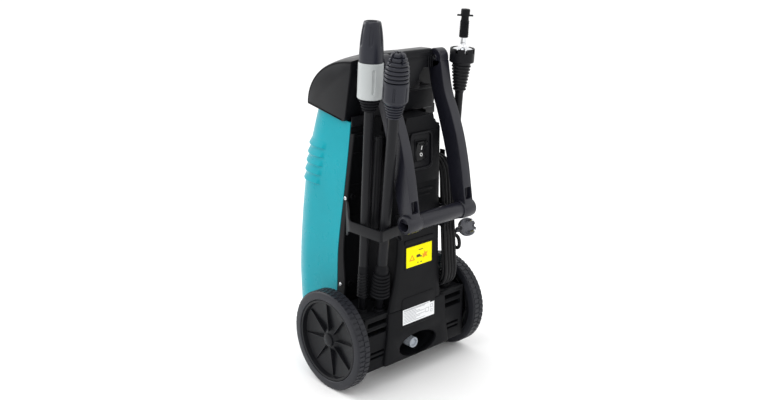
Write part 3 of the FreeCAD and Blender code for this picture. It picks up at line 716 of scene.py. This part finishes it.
def curve_through(corners, steps=6):
    """A smooth line through the given points."""
    line = []
    for k in range(len(corners) - 1):
        p0 = Vector(corners[max(0, k - 1)])
        p1, p2 = Vector(corners[k]), Vector(corners[k + 1])
        p3 = Vector(corners[min(len(corners) - 1, k + 2)])
        for step in range(steps):
            s = step / steps
            line.append(tuple(0.5 * (2 * p1 + (p2 - p0) * s + (2 * p0 - 5 * p1 + 4 * p2 - p3) * s**2
                                     + (3 * p1 - p0 - 3 * p2 + p3) * s**3)))
    line.append(tuple(corners[-1]))
    return line


ARM_BACK = [(64, 566), (74, 518), (91, 479), (105.5, 440), (117, 395), (124, 355), (130.6, 314)]
ARM_FRONT = [(103, 314), (91, 352), (83.5, 392), (73, 430), (59, 472), (43, 515), (32, 566)]
PIVOT = (48, 570)
BAR = (116.4, 314)


def handle_arm(side, name):
    """A curved arm: boss round the pivot, pocket in its back, sleeve round the bar."""
    middle = side * 64
    blade = slab("blade", curve_through(ARM_BACK) + curve_through(ARM_FRONT), "YZ", middle - 10,
                 middle + 10)
    pocket = block("pocket", (middle - 7, middle + 7), (116, 140), (333, 353))
    carved(blade, [pocket])
    rounded_edges(blade, 1.8, 3, 40)
    along = (side, 0, 0)
    boss = axis_matrix((side * 54, *PIVOT), along)
    sleeve = axis_matrix((side * 50, *BAR), along)
    pieces = [blade,
              lathe("boss", [(5.1, 0), (14.6, 0), (16, 1.4), (16, 18.6), (14.6, 20), (5.1, 20)],
                    boss, 64),
              lathe("sleeve", [(14.3, 0), (15.2, 0), (15.9, 0.8), (15.9, 3), (16.4, 4.5),
                               (16.4, 24), (15.8, 26.5), (15.6, 29), (15.0, 29.8), (14.3, 29.8)],
                    sleeve, 64)]
    piece = joined(f"handle_arm_{name}_detail", pieces)
    finished(piece, HANDLE, "handle", smooth=34)


def handle_bar():
    """The hollow grip bar, with a shallow seam beside each sleeve."""
    place = axis_matrix((-80, *BAR), (1, 0, 0))
    outer = [(11, 0), (13.2, 0), (14.1, 0.9), (14.1, 29), (13.9, 30), (13.9, 33), (14.15, 34),
             (14.15, 126), (13.9, 127), (13.9, 130), (14.1, 131), (14.1, 159.1), (13.2, 160),
             (11, 160)]
    finished(lathe("handle_bar_detail", outer, place, 96), HANDLE, "handle",
             smooth=50)


def handle_mount():
    """Top box behind the hood, the pivot crossbar and its tongue."""
    pieces = [
        block("box", (-71, 71), (-40, 30), (480.3, 520), 2.0, 3),
        block("apron", (-97.2, 97.2), (6.4, 8.4), (464, 481), 0.5),
        block("lip", (-69, 69), (27, 31.2), (514, 519.4), 0.8),
        block("crossbar", (-53, 53), (17, 47), (553, 586), 4.0, 4),
        slab("tongue", [(-46, 572), (-40, 566), (-4, 524), (4, 524), (40, 566), (46, 572)], "XZ",
             30, 47.6, 1.2),
        block("neck", (-34, 34), (16.5, 34), (517, 556), 1.5),
        block("brow", (-50, 50), (40, 48.2), (574, 581), 1.0),
    ]
    for side in (1, -1):
        for k in range(3):
            x = side * (40 + 5 * k)
            pieces.append(block("rib", (x - 1, x + 1), (44, 49), (554, 573), 0.5))
    for x in (-28, 0, 28):
        pieces.append(block("web", (x - 1.2, x + 1.2), (18, 31), (519.5, 540), 0.5))
    finished(joined("handle_mount_detail", pieces), BLACK_GLOSS, smooth=34)


handle_arm(1, "left")
handle_arm(-1, "right")
handle_bar()
handle_mount()


# ---------------------------------------------------------------- lance holders and lances

def lance_holder(side, name):
    """The band round the lances, widening into webs where it meets the rail and column."""
    path = [(97.4, -12, 97.2, -8.5, 268, 334), (99.5, -6, 97.8, -3, 272, 330),
            (103, 0, 100.4, 3.2, 277, 318), (106.6, 5, 103.8, 7.6, 281.5, 309),
            (108.6, 9.6, 105.2, 11.4, 283.6, 304.5), (109, 14, 105.5, 14.6, 284, 303),
            (109, 86.4, 105.5, 85.4, 284, 303), (108.2, 90, 104.9, 87.8, 284, 303),
            (104.8, 92.4, 103.2, 88.8, 284, 303), (62, 84.6, 62, 81.0, 284, 303),
            (57, 83.7, 57, 80.1, 282, 305), (54, 83.4, 54, 79.2, 277, 311),
            (50.9, 83.2, 50.9, 76, 271, 318)]
    rings = []
    for x_out, y_out, x_in, y_in, z_low, z_high in path:
        rings.append([at(side * x_out, y_out, z_low), at(side * x_out, y_out, z_high),
                      at(side * x_in, y_in, z_high), at(side * x_in, y_in, z_low)])
    band = rounded_edges(loft("band", rings), 0.9, 2, 50)
    flange = slab("flange", [(60, 286), (66, 274), (80, 271), (83, 273), (83, 316), (80, 318),
                             (66, 313), (60, 301)], "YZ", *sorted((side * 50.7, side * 53.6)), 0.8)
    pieces = [band, flange]
    if side > 0:
        socket = axis_matrix((72.5, 36, 279), (0, 0, 1))
        pieces.append(lathe("socket", [(8.1, 2), (8.1, 9), (10.2, 9), (11, 8.2), (11, 0.8),
                                       (10.2, 0), (0, 0), (0, 2)], socket, 48))
        pieces.append(block("web", (54.5, 58), (30, 77), (284, 288), 0.6))
        pieces.append(block("arm", (55, 64.5), (33, 39), (279, 288), 0.8))
    finished(joined(f"lance_holder_{name}_detail", pieces), BLACK_GLOSS, smooth=34)


lance_holder(1, "left")
lance_holder(-1, "right")


def rings_between(low, high, r_low, r_high, depth, count, crown=0.62):
    """Profile of rounded rings on a taper; crown is the share of each pitch a ring takes."""
    shape = ((0.0, 0.0), (0.1, 0.7), (0.28, 1.0), (0.62, 1.0), (0.88, 0.7), (1.0, 0.0))
    pitch = (high - low) / count
    points = []
    for k in range(count):
        for share, lift in shape:
            h = low + pitch * (k + share * crown)
            r = r_low + (r_high - r_low) * (h - low) / (high - low)
            points.append((r - depth * (1 - lift), h))
    return points


VARIO = axis_matrix((95.8, 27.4, 141), (0.0043, 0.0693, 1))
TURBO = axis_matrix((72.8, 46, 141), (0.0628, 0.175, 1))
GUN = axis_matrix((-96, 41.2, 141), (-0.0024, 0.074, 1))
SPARE = axis_matrix((72.5, 36, 283), (-0.068, 0, 1))
NUT_NOTCHES = 8


def fluted(count, depth, low, high, width, phase=0.0):
    """A radius rule: vertical grooves with rounded ends between two heights."""
    def shape(r, h, angle):
        if not low - 1 <= h <= high + 1:
            return r
        pitch = TURN / count
        offset = abs((angle + phase + pitch / 2) % pitch - pitch / 2) * r
        ends = max(0.0, 1 - (max(low + width - h, h - high + width, 0) / width) ** 2) ** 0.5
        half = width * ends
        return r - depth * (1 - smoothstep(half * 0.55, max(half, 0.01), offset))
    return shape


def fan_jet_lance():
    """Fan-jet lance: ringed grip and neck, tube, light collar and fluted nozzle."""
    tube = lathe("vario_tube_detail", [(5, 25), (8.3, 25), (8.3, 378), (5, 378)], VARIO, 48)
    finished(tube, TUBE, "vario_lance")
    profile = [(5, 0), (5.8, 0), (6.5, 0.8), (6.5, 23), (7.4, 24.5)]
    profile += rings_between(26, 70, 10, 9.8, 2.0, 8) + [(8.9, 70.5), (9.2, 82), (8.5, 84), (5, 84)]
    grip = lathe("vario_grip_detail", profile, VARIO, 64)
    finished(grip, GRIP, "vario_lance", smooth=50)
    neck = [(8, 357), (9.4, 357)] + rings_between(357.5, 377.5, 11.2, 18.4, 2.2, 4)
    neck += [(17.6, 378.6), (8, 378.6)]
    finished(lathe("vario_neck", neck, VARIO, 64), GRIP, "vario_lance", smooth=50)
    collar = [(9, 378.7), (19.6, 378.7), (20.6, 379.8)]
    collar += [(20.8 - 0.2 * k / 54, 381 + k) for k in range(0, 55)]
    collar += [(20.0, 437), (9, 437)]
    groove = fluted(4, 1.6, 388, 428, 3.0, phase=0.38)
    piece = lathe("vario_collar_detail", collar, VARIO, 128, groove)
    finished(piece, COLLAR, "vario_lance", smooth=40)
    marks = []
    for k, angle in enumerate((1.40, 1.60)):
        spot = VARIO @ Matrix.Rotation(angle, 4, "Z")
        spot = spot @ Matrix.Translation((20.4, 0, 386.5)) @ Matrix.Rotation(TURN / 4, 4, "Y")
        marks.append(lathe("mark", [(0, 0), (1.7, 0), (1.7, 0.8), (0, 0.8)], spot,
                           3 if k else 20))
    finished(joined("vario_marks", marks), GRIP, "vario_lance")
    nozzle = [(4, 437.4), (19.2, 437.4), (19.8, 438.2)]
    for k in range(31):
        h = 439 + k * 2
        nozzle.append((19.8 - 0.3 * smoothstep(439, 465, h) - 5.6 * ((h - 439) / 62) ** 2.6, h))
    nozzle += [(13.2, 501.6), (12.4, 502), (11, 502), (10.4, 501), (8.8, 488), (4, 486)]
    flutes = fluted(6, 1.7, 464, 496, 3.6, phase=0.2)
    piece = lathe("vario_nozzle_detail", nozzle, VARIO, 144, flutes)
    finished(piece, HEAD, "vario_nozzle", smooth=45)


def turbo_lance():
    """Dirt-blaster lance: bellows grip, tube, barrel with recesses, ringed and slotted cap."""
    tube = lathe("turbo_tube_detail", [(5, 31), (8.9, 31), (8.9, 370), (5, 370)], TURBO, 48)
    finished(tube, TUBE, "turbo_lance")
    profile = [(5, 0), (6.2, 0), (7, 0.8), (7, 27), (9, 29)]
    profile += rings_between(30, 76, 17.8, 14.2, 3.6, 7)
    profile += [(11.6, 77), (11.2, 84), (9.2, 88), (9.0, 92), (5, 92)]
    grip = lathe("turbo_grip_detail", profile, TURBO, 64)
    finished(grip, GRIP, "turbo_lance", smooth=50)
    barrel = [(8, 359), (9.6, 359)] + rings_between(359.5, 383, 11.6, 17.4, 2.2, 5)
    barrel += [(17.5, 384), (19.8, 387.6)] + [(20.8, 390 + k) for k in range(0, 29)]
    barrel += [(20.2, 420), (8, 420)]
    recesses = fluted(6, 1.9, 391, 415, 2.0)
    piece = lathe("turbo_barrel_detail", barrel, TURBO, 128, recesses)
    finished(piece, HEAD, "turbo_lance", smooth=45)

    def dome(h):
        return 20.0 - 9.6 * max(0.0, (h - 432) / 34) ** 1.9

    cap = [(4, 420.3), (18.6, 420.3)]
    for k in range(6):
        low = 421 + 6.6 * k
        for share, lift in ((0.0, 0.0), (0.12, 0.8), (0.3, 1), (0.6, 1), (0.76, 0.8), (0.86, 0.0)):
            h = low + 6.6 * share
            cap.append((dome(h) - 3.4 * (1 - lift), h))
    cap += [(dome(462), 461.5), (dome(465), 464.6), (8.2, 466), (6, 466), (5, 462), (4, 462)]
    slots = fluted(5, 3.4, 450, 474, 2.2, phase=0.3)
    piece = lathe("turbo_cap_detail", cap, TURBO, 144, slots)
    finished(piece, HEAD, "turbo_lance", smooth=35)


def spare_tube():
    """Plain straight extension tube with an end ring set off by a shallow groove."""
    profile = [(5, 0), (7.5, 0), (7.5, 158), (7.2, 158.6), (7.2, 159.6), (7.5, 160.2), (7.5, 164.4),
               (6.9, 165), (5.6, 165), (5, 164)]
    finished(lathe("extension_tube_detail", profile, SPARE, 48), TUBE, "extension")


def gun_lance():
    """Right lance: ringed grip, tube, ringed cone, castellated nut, chrome neck and stem."""
    tube = [(3.5, 25), (7.2, 25), (7.2, 366), (8.2, 371)]
    tube += rings_between(372, 418, 11.4, 17.2, 2.1, 8) + [(16, 418.6), (16, 420.5), (3.5, 420.5)]
    finished(lathe("gun_tube_detail", tube, GUN, 64), TUBE, "gun_lance", smooth=45)
    grip = [(3.5, 0), (4.9, 0), (5.5, 0.7), (5.5, 23), (6.6, 24.5)]
    grip += rings_between(26, 64, 9.3, 9.2, 1.9, 7) + [(8.0, 65), (7.9, 70), (7.3, 71), (3.5, 71)]
    finished(lathe("gun_grip_detail", grip, GUN, 64), GRIP, "gun_lance", smooth=50)
    nut = [(16.5, 421.1), (20.6, 421.1), (21.4, 422.2), (21.4, 430.5), (21.4, 444), (21.0, 445),
           (18.6, 445), (18.2, 444.4), (18.2, 427), (16.5, 425)]
    nut_piece = lathe("union_nut_detail", nut, GUN, 96)
    notches = [eight_cornered("notch", [tread_lug(GUN, TURN * (k + 0.3) / NUT_NOTCHES, 437, 448,
                                                  0.11, (15, 24))]) for k in range(NUT_NOTCHES)]
    finished(carved(nut_piece, notches), BLACK_GLOSS, "union_nut", smooth=35)
    cone = [(3, 421), (15.8, 421), (15.9, 441), (17.6, 442.4), (17.6, 443.4), (15.4, 444.4),
            (9.4, 446.4), (6.2, 448.6), (5.3, 451.5), (5.2, 453), (5.9, 453.6), (5.9, 455),
            (5.2, 455.6), (5.2, 463), (3, 463)]
    finished(lathe("chrome_cone_detail", cone, GUN, 96), CHROME, "gun_lance",
             smooth=40)
    stem = [(3, 463.2), (6.8, 463.2), (7.6, 464)]
    stem += rings_between(464.5, 492, 8.2, 7.9, 0.8, 9)
    stem += [(6.6, 493.5), (6.4, 498), (7.4, 499.5), (7.7, 501), (7.7, 509.6), (7, 511), (3, 511)]
    knurl = fluted(20, 0.55, 462, 494, 0.8)
    body = lathe("stem", stem, GUN, 160, knurl)
    lugs = []
    for sign in (1, -1):
        place = GUN @ Matrix.Rotation(2.4, 4, "Z") @ Matrix.Translation((sign * 4, 0, 500.5))
        place = place @ Matrix.Rotation(sign * TURN / 4, 4, "Y")
        lugs.append(lathe("lug", [(0, 0), (1.6, 0), (1.6, 9), (1.2, 9.6), (0, 9.6)], place, 24))
    piece = joined("bayonet_stem_detail", [body] + lugs)
    finished(piece, GRIP, "gun_lance", smooth=30)


fan_jet_lance()
turbo_lance()
spare_tube()
gun_lance()


# ---------------------------------------------------------------- switch, labels, screws

def switch():
    """Rounded switch surround, recess floor and a rocker with grip ribs and its two marks."""
    outer = rounded_outline(27, 33, 9, (0, SWITCH_Z))
    inner = rounded_outline(22.5, 28.5, 6, (0, SWITCH_Z))[::-1]
    ring = slab("ring", outer, "XZ", SWITCH_FOOT, COLUMN_BACK + 5)
    carved(ring, [slab("hole", inner, "XZ", COLUMN_BACK - 3, COLUMN_BACK + 9)])
    rounded_edges(ring, 1.5, 3, 50)
    plate = slab("plate", rounded_outline(23, 29, 6, (0, SWITCH_Z)), "XZ", SWITCH_FOOT,
                 COLUMN_BACK + 1.4)
    frame_low = slab("frame", rounded_outline(14.5, 20.4, 2, (0, 420)), "XZ", SWITCH_FOOT,
                     COLUMN_BACK + 2.4)
    for holed in (plate, frame_low):
        carved(holed, [block("hole", (-12.3, 12.3), (60, 80), (402.3, 437.7))])
    rounded_edges(frame_low, 0.4, 2, 50)
    piece = joined("switch_bezel_detail", [ring, plate, frame_low])
    finished(piece, BLACK_GLOSS, smooth=34)

    face = [(66, 408.5), (75.2, 403.4), (75.0, 407), (73.9, 414), (73.9, 421), (75.8, 429),
            (79.0, 436.6), (66, 432)]
    rocker = slab("rocker", face, "YZ", -11.9, 11.9, 0.5)
    ribs = [block("rib", (-8, 8), (76.6, 77.9 + 0.35 * k), (431.2 + 1.4 * k, 431.9 + 1.4 * k), 0.2)
            for k in range(3)]
    piece = joined("rocker_switch_detail", [rocker] + ribs)
    finished(piece, SWITCH, "rocker", smooth=30)
    bar = slab("mark", [(73.6, 421.6), (74.5, 421.6), (76.2, 428.6), (75.2, 428.6)], "YZ", -0.9,
               0.9)
    ring = lathe("mark", [(1.9, 0), (3.1, 0), (3.1, 0.8), (1.9, 0.8)],
                 axis_matrix((0, 73.5, 413), (0, 1, 0.12)), 32)
    finished(joined("rocker_marks", [bar, ring]), MARK, "rocker")


SWITCH_Z = 419.5
SWITCH_FOOT = COLUMN_BACK + 0.1
SWITCH = plastic("switch_black", (0.008, 0.008, 0.009), 0.28, relief=0.00002, coat=0.2)
MARK = plastic("mark_white", (0.75, 0.75, 0.74), 0.4, relief=0.00001, shade=0.02)
YELLOW = plastic("label_yellow", (0.93, 0.85, 0.0), 0.42, grain=500, relief=0.00001, shade=0.03)
INK_DARK = plastic("ink_dark", (0.06, 0.045, 0.03), 0.5, relief=0.00001)
INK_ORANGE = plastic("ink_orange", (0.75, 0.30, 0.02), 0.5, relief=0.00001)
PAPER = plastic("label_white", (0.78, 0.79, 0.80), 0.40, grain=500, relief=0.00001, shade=0.03)
INK_GREY = plastic("ink_grey", (0.33, 0.34, 0.36), 0.5, relief=0.00001)


INK = 0.3


def warning_label():
    """A yellow label with a plain triangle and a few plain shapes."""
    back = 71.5
    sheet = slab("warning_label_detail", rounded_outline(31, 18.5, 1.2, (0, LABEL_Z)), "XZ",
                 back - 0.4, back + 0.2)
    finished(sheet, YELLOW)
    outer = [(24, 224), (10.5, 224), (17.2, 235)]
    inner = [(21, 225.8), (13.5, 225.8), (17.2, 231.9)]
    triangle = slab("sign", outer, "XZ", back, back + INK)
    carved(triangle, [slab("hole", inner, "XZ", back - 1, back + 1)])
    flame = [(-7, 226), (-11, 223.5), (-15, 226), (-20, 224), (-18, 229), (-21, 234), (-16, 232.5),
             (-13, 236), (-11.5, 231), (-7, 231.5), (-9.5, 228.5)]
    finished(joined("warning_signs", [triangle, slab("sign", flame, "XZ", back, back + INK)]),
             INK_ORANGE)
    sizes = [(4.6, 2.6, 1.2, (2, 230)), (1.7, 1.5, 1.2, (-4.5, 228)), (1.0, 1.6, 0.6, (3, 217.5)),
             (2.2, 0.8, 0.5, (-5, 217.5)), (5.0, 0.7, 0.5, (-4, 241))]
    shapes = [slab("sign", rounded_outline(*size), "XZ", back, back + INK) for size in sizes]
    finished(joined("warning_shapes", shapes), INK_DARK)


def rating_label():
    """A white label with a stepped corner and plain grey rules."""
    back = 71.9
    corners = [(39, 107.2), (39, 136), (-28, 136), (-28, 133), (-39, 133), (-39, 107.2)]
    finished(slab("rating_label_detail", corners, "XZ", back - 0.8, back + 0.2), PAPER)
    rules = []
    for row in range(9):
        z = 131.6 - 2.7 * row
        reach = 26 - (11 if row % 3 == 1 else 0) - (6 if row % 4 == 2 else 0)
        rules.append(block("rule", (36.5 - 2 * reach, 36.5), (back, back + INK), (z, z + 0.9)))
    for x, z, half in ((-21, 121, 4.2), (-32, 126, 3.2), (-32, 117, 2.6)):
        cell = slab("rule", rounded_outline(half, half, 0.4, (x, z)), "XZ", back, back + INK)
        carved(cell, [slab("hole", rounded_outline(half - 0.8, half - 0.8, 0.3, (x, z)), "XZ",
                           back - 1, back + 1)])
        rules.append(cell)
    rules.append(block("rule", (-24, 36.5), (back, back + INK), (133.4, 134.6)))
    finished(joined("rating_rules", rules), INK_GREY)


def screws():
    """Countersunk screws with a cross slot, in the pocket bosses of both flanks."""
    pieces = []
    for side in (1, -1):
        for y, z in ((-12, 336), (-29, 172)):
            place = axis_matrix((side * BODY_HALF, y, z), (side, 0, 0))
            head = lathe("screw", [(0, 0), (3.4, 0), (3.4, 0.7), (2.6, 1.5), (0, 1.6)], place, 40)
            cross = [block("slot", (side * 96.9, side * 98.9), (y - long, y + long),
                           (z - high, z + high)) for long, high in ((1.9, 0.35), (0.35, 1.9))]
            pieces.append(carved(head, cross))
    finished(joined("housing_screws_detail", pieces), STEEL)


switch()
warning_label()
rating_label()
screws()


# ---------------------------------------------------------------- mains cord

CORD_DIAMETER = 6.6
HANK_OUTER_X = -83.1
HANK_PITCH = 7.4
HANK_TOP, HANK_BOTTOM = Vector((37.5, 395.7)), Vector((54.5, 153.3))
HANK_RADIUS = 27.6
TURNS_PER_LAYER = 4
STEPS_PER_TURN = 30
CORD_EXIT = (-82.4, 4.57, 238.1)


def hank_point(layer, share, x):
    """A point on one turn, a slanted oval with straight sides that narrows layer by layer;
    share 0 is the middle of the back run, going up."""
    long_axis = (HANK_TOP - HANK_BOTTOM).normalized()
    wide_axis = Vector((long_axis.y, -long_axis.x))
    radius = HANK_RADIUS - CORD_DIAMETER * layer
    run = (HANK_TOP - HANK_BOTTOM).length / 2 - HANK_RADIUS
    arc = TURN / 2 * radius
    gone = (share % 1) * (4 * run + 2 * arc)
    if gone < run or gone >= 3 * run + 2 * arc:
        wide, along = radius, gone if gone < run else gone - 4 * run - 2 * arc
    elif gone < run + arc:
        angle = (gone - run) / radius
        wide, along = radius * math.cos(angle), run + radius * math.sin(angle)
    elif gone < 3 * run + arc:
        wide, along = -radius, 2 * run + arc - gone
    else:
        angle = (gone - 3 * run - arc) / radius
        wide, along = -radius * math.cos(angle), -run - radius * math.sin(angle)
    spot = (HANK_TOP + HANK_BOTTOM) / 2 + wide_axis * wide + long_axis * along
    return x, spot.x, spot.y


def cord_points():
    """Lead, four outer turns wound in, four inner ones back out, and the tail's loop."""
    points = [CORD_EXIT, (-82.4, 8.5, 233.8), (-82.4, 14.8, 226.2)]
    first, turns = 0.63, 2 * TURNS_PER_LAYER + 0.23
    inner = TURNS_PER_LAYER - 1
    for k in range(int(turns * STEPS_PER_TURN)):
        share = k / STEPS_PER_TURN
        stepped = int(share) + smoothstep(0.2, 0.98, share % 1)
        layer = smoothstep(inner + 0.2, inner + 0.98, share)
        column = min(stepped, inner) if share < TURNS_PER_LAYER else max(
            0, inner - (stepped - TURNS_PER_LAYER))
        points.append(hank_point(layer, first + share, HANK_OUTER_X + HANK_PITCH * column))
    points += [(-83.2, 70.2, 221), (-83.6, 69.6, 237), (-85.4, 69.7, 244.6), (-90.4, 70.6, 247.4),
               (-95.4, 72.4, 245), (-97.5, 74.6, 239.8), (-97.6, 76.2, 234), (-97.4, 77, 228.5),
               (-97.4, 75.5, 223.3), (-97.5, 71.5, 220.4), (-97.6, 66.5, 220.4),
               (-97.7, 62.6, 223.3), (-97.8, 61, 228), (-97.9, 60.8, 237), (-98.3, 61.4, 245)]
    return points


PLUG_AXIS = Vector((0.25, 0.87, 0.42)).normalized()
PLUG_REAR = Vector((-97.5, 70.9, 255.3))


def mains_cord():
    """The cord as one smooth line through the gland, the hank and the plug's sleeve."""
    route = cord_points() + [tuple(PLUG_REAR - PLUG_AXIS * 6), tuple(PLUG_REAR)]
    curve = bpy.data.curves.new("mains_cord", "CURVE")
    curve.dimensions = "3D"
    curve.bevel_depth = CORD_DIAMETER / 2 * MM
    curve.bevel_resolution = 5
    curve.resolution_u = 4
    curve.use_fill_caps = True
    line = curve.splines.new("NURBS")
    line.points.add(len(route) - 1)
    for point, spot in zip(line.points, route):
        point.co = (*at(*spot), 1)
    line.order_u = 3
    line.use_endpoint_u = True
    piece = bpy.data.objects.new("mains_cord", curve)
    bpy.context.scene.collection.objects.link(piece)
    curve.materials.append(CORD)
    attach(piece, "chassis")
    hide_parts("cord_lead", "cord_hank", "cord_tail")
    return piece


def plug_parts():
    """Round plug with a ribbed sleeve, a deep rim notched at both sides, and two pins."""
    across = (Vector((0, 0, 1)) - PLUG_AXIS * PLUG_AXIS.z).normalized()
    turn = Matrix((across, PLUG_AXIS.cross(across), PLUG_AXIS)).transposed().to_4x4()
    place = Matrix.Translation(at(*PLUG_REAR)) @ turn @ Matrix.Scale(MM, 4)
    profile = [(3.4, 0.1), (4.6, 0.1)] + rings_between(0.6, 12, 4.9, 5.6, 0.9, 5)
    profile += [(6.2, 14), (7.2, 19), (9, 26), (10.6, 28), (14.6, 30.2), (16.2, 32), (16.5, 34.5),
                (16.5, 40), (15.8, 41.6), (14.6, 42), (13.4, 41.2), (12.8, 39.6), (0, 39.6),
                (0, 20), (3.4, 8)]

    def notched(r, h, angle):
        side = 1 - smoothstep(0.12, 0.24, abs(math.cos(angle)))
        return r - 3.4 * side if r > 12 and h > 29 else r

    body = lathe("mains_plug_detail", profile, place, 144, notched)
    finished(body, PLUG, smooth=40)
    pins = []
    for side in (1, -1):
        pin_place = place @ Matrix.Translation((9.5 * side, 0, 39))
        pins.append(lathe("pin", [(0, 0), (2.4, 0), (2.4, 20.6), (1.7, 22), (0, 22)], pin_place,
                          32))
    finished(joined("plug_pins", pins), STEEL)
    return body


def gland_and_hook():
    """Tapered strain relief with bend slots, and the peg that carries the hank."""
    place = axis_matrix((-82.4, -12.4, 255.1), (0, 1, -1))
    profile = [(3.4, -9), (5.4, -9), (5.4, 0), (6.6, 0), (7.5, 0.8), (7.5, 2.4), (6.8, 3.2)]
    profile += rings_between(4, 22, 5.6, 4.6, 0.8, 6) + [(4.2, 23), (4.1, 24), (3.4, 24)]
    finished(lathe("cord_gland_detail", profile, place, 48), CORD, smooth=45)
    pieces = [block("peg", (-90.4, -51), (32, 44), (374, 383), 2.2, 3),
              block("tip", (-90.4, -87.4), (32, 44), (378, 402), 1.3, 3),
              block("foot", (-54, -50.4), (28, 48), (366, 389), 1.2)]
    finished(joined("cord_hook_detail", pieces), BLACK, smooth=34)


plug = plug_parts()
gland_and_hook()
cord = mains_cord()


# ---------------------------------------------------------------- pieces kept from the frame

KEPT = [
    (STEEL, ["axle", "pivot_pins", "motor_shaft", "motor_bearings", "piston_springs", "pistons"]),
    (IRON, ["motor_stator", "rotor_core"]),
    (ALUMINIUM, ["motor_end_cap", "pump_flange", "pump_body", "wobble_plate"]),
    (BRASS, ["pump_head", "outlet_fitting"]),
    (FAN, ["cooling_fan", "start_capacitor"]),
    (BLACK, ["pressure_switch"]),
    (FITTING, ["inlet_filter"]),
]
for paint, names in KEPT:
    for name in names:
        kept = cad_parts[name]
        kept.data.materials.clear()
        kept.data.materials.append(paint)
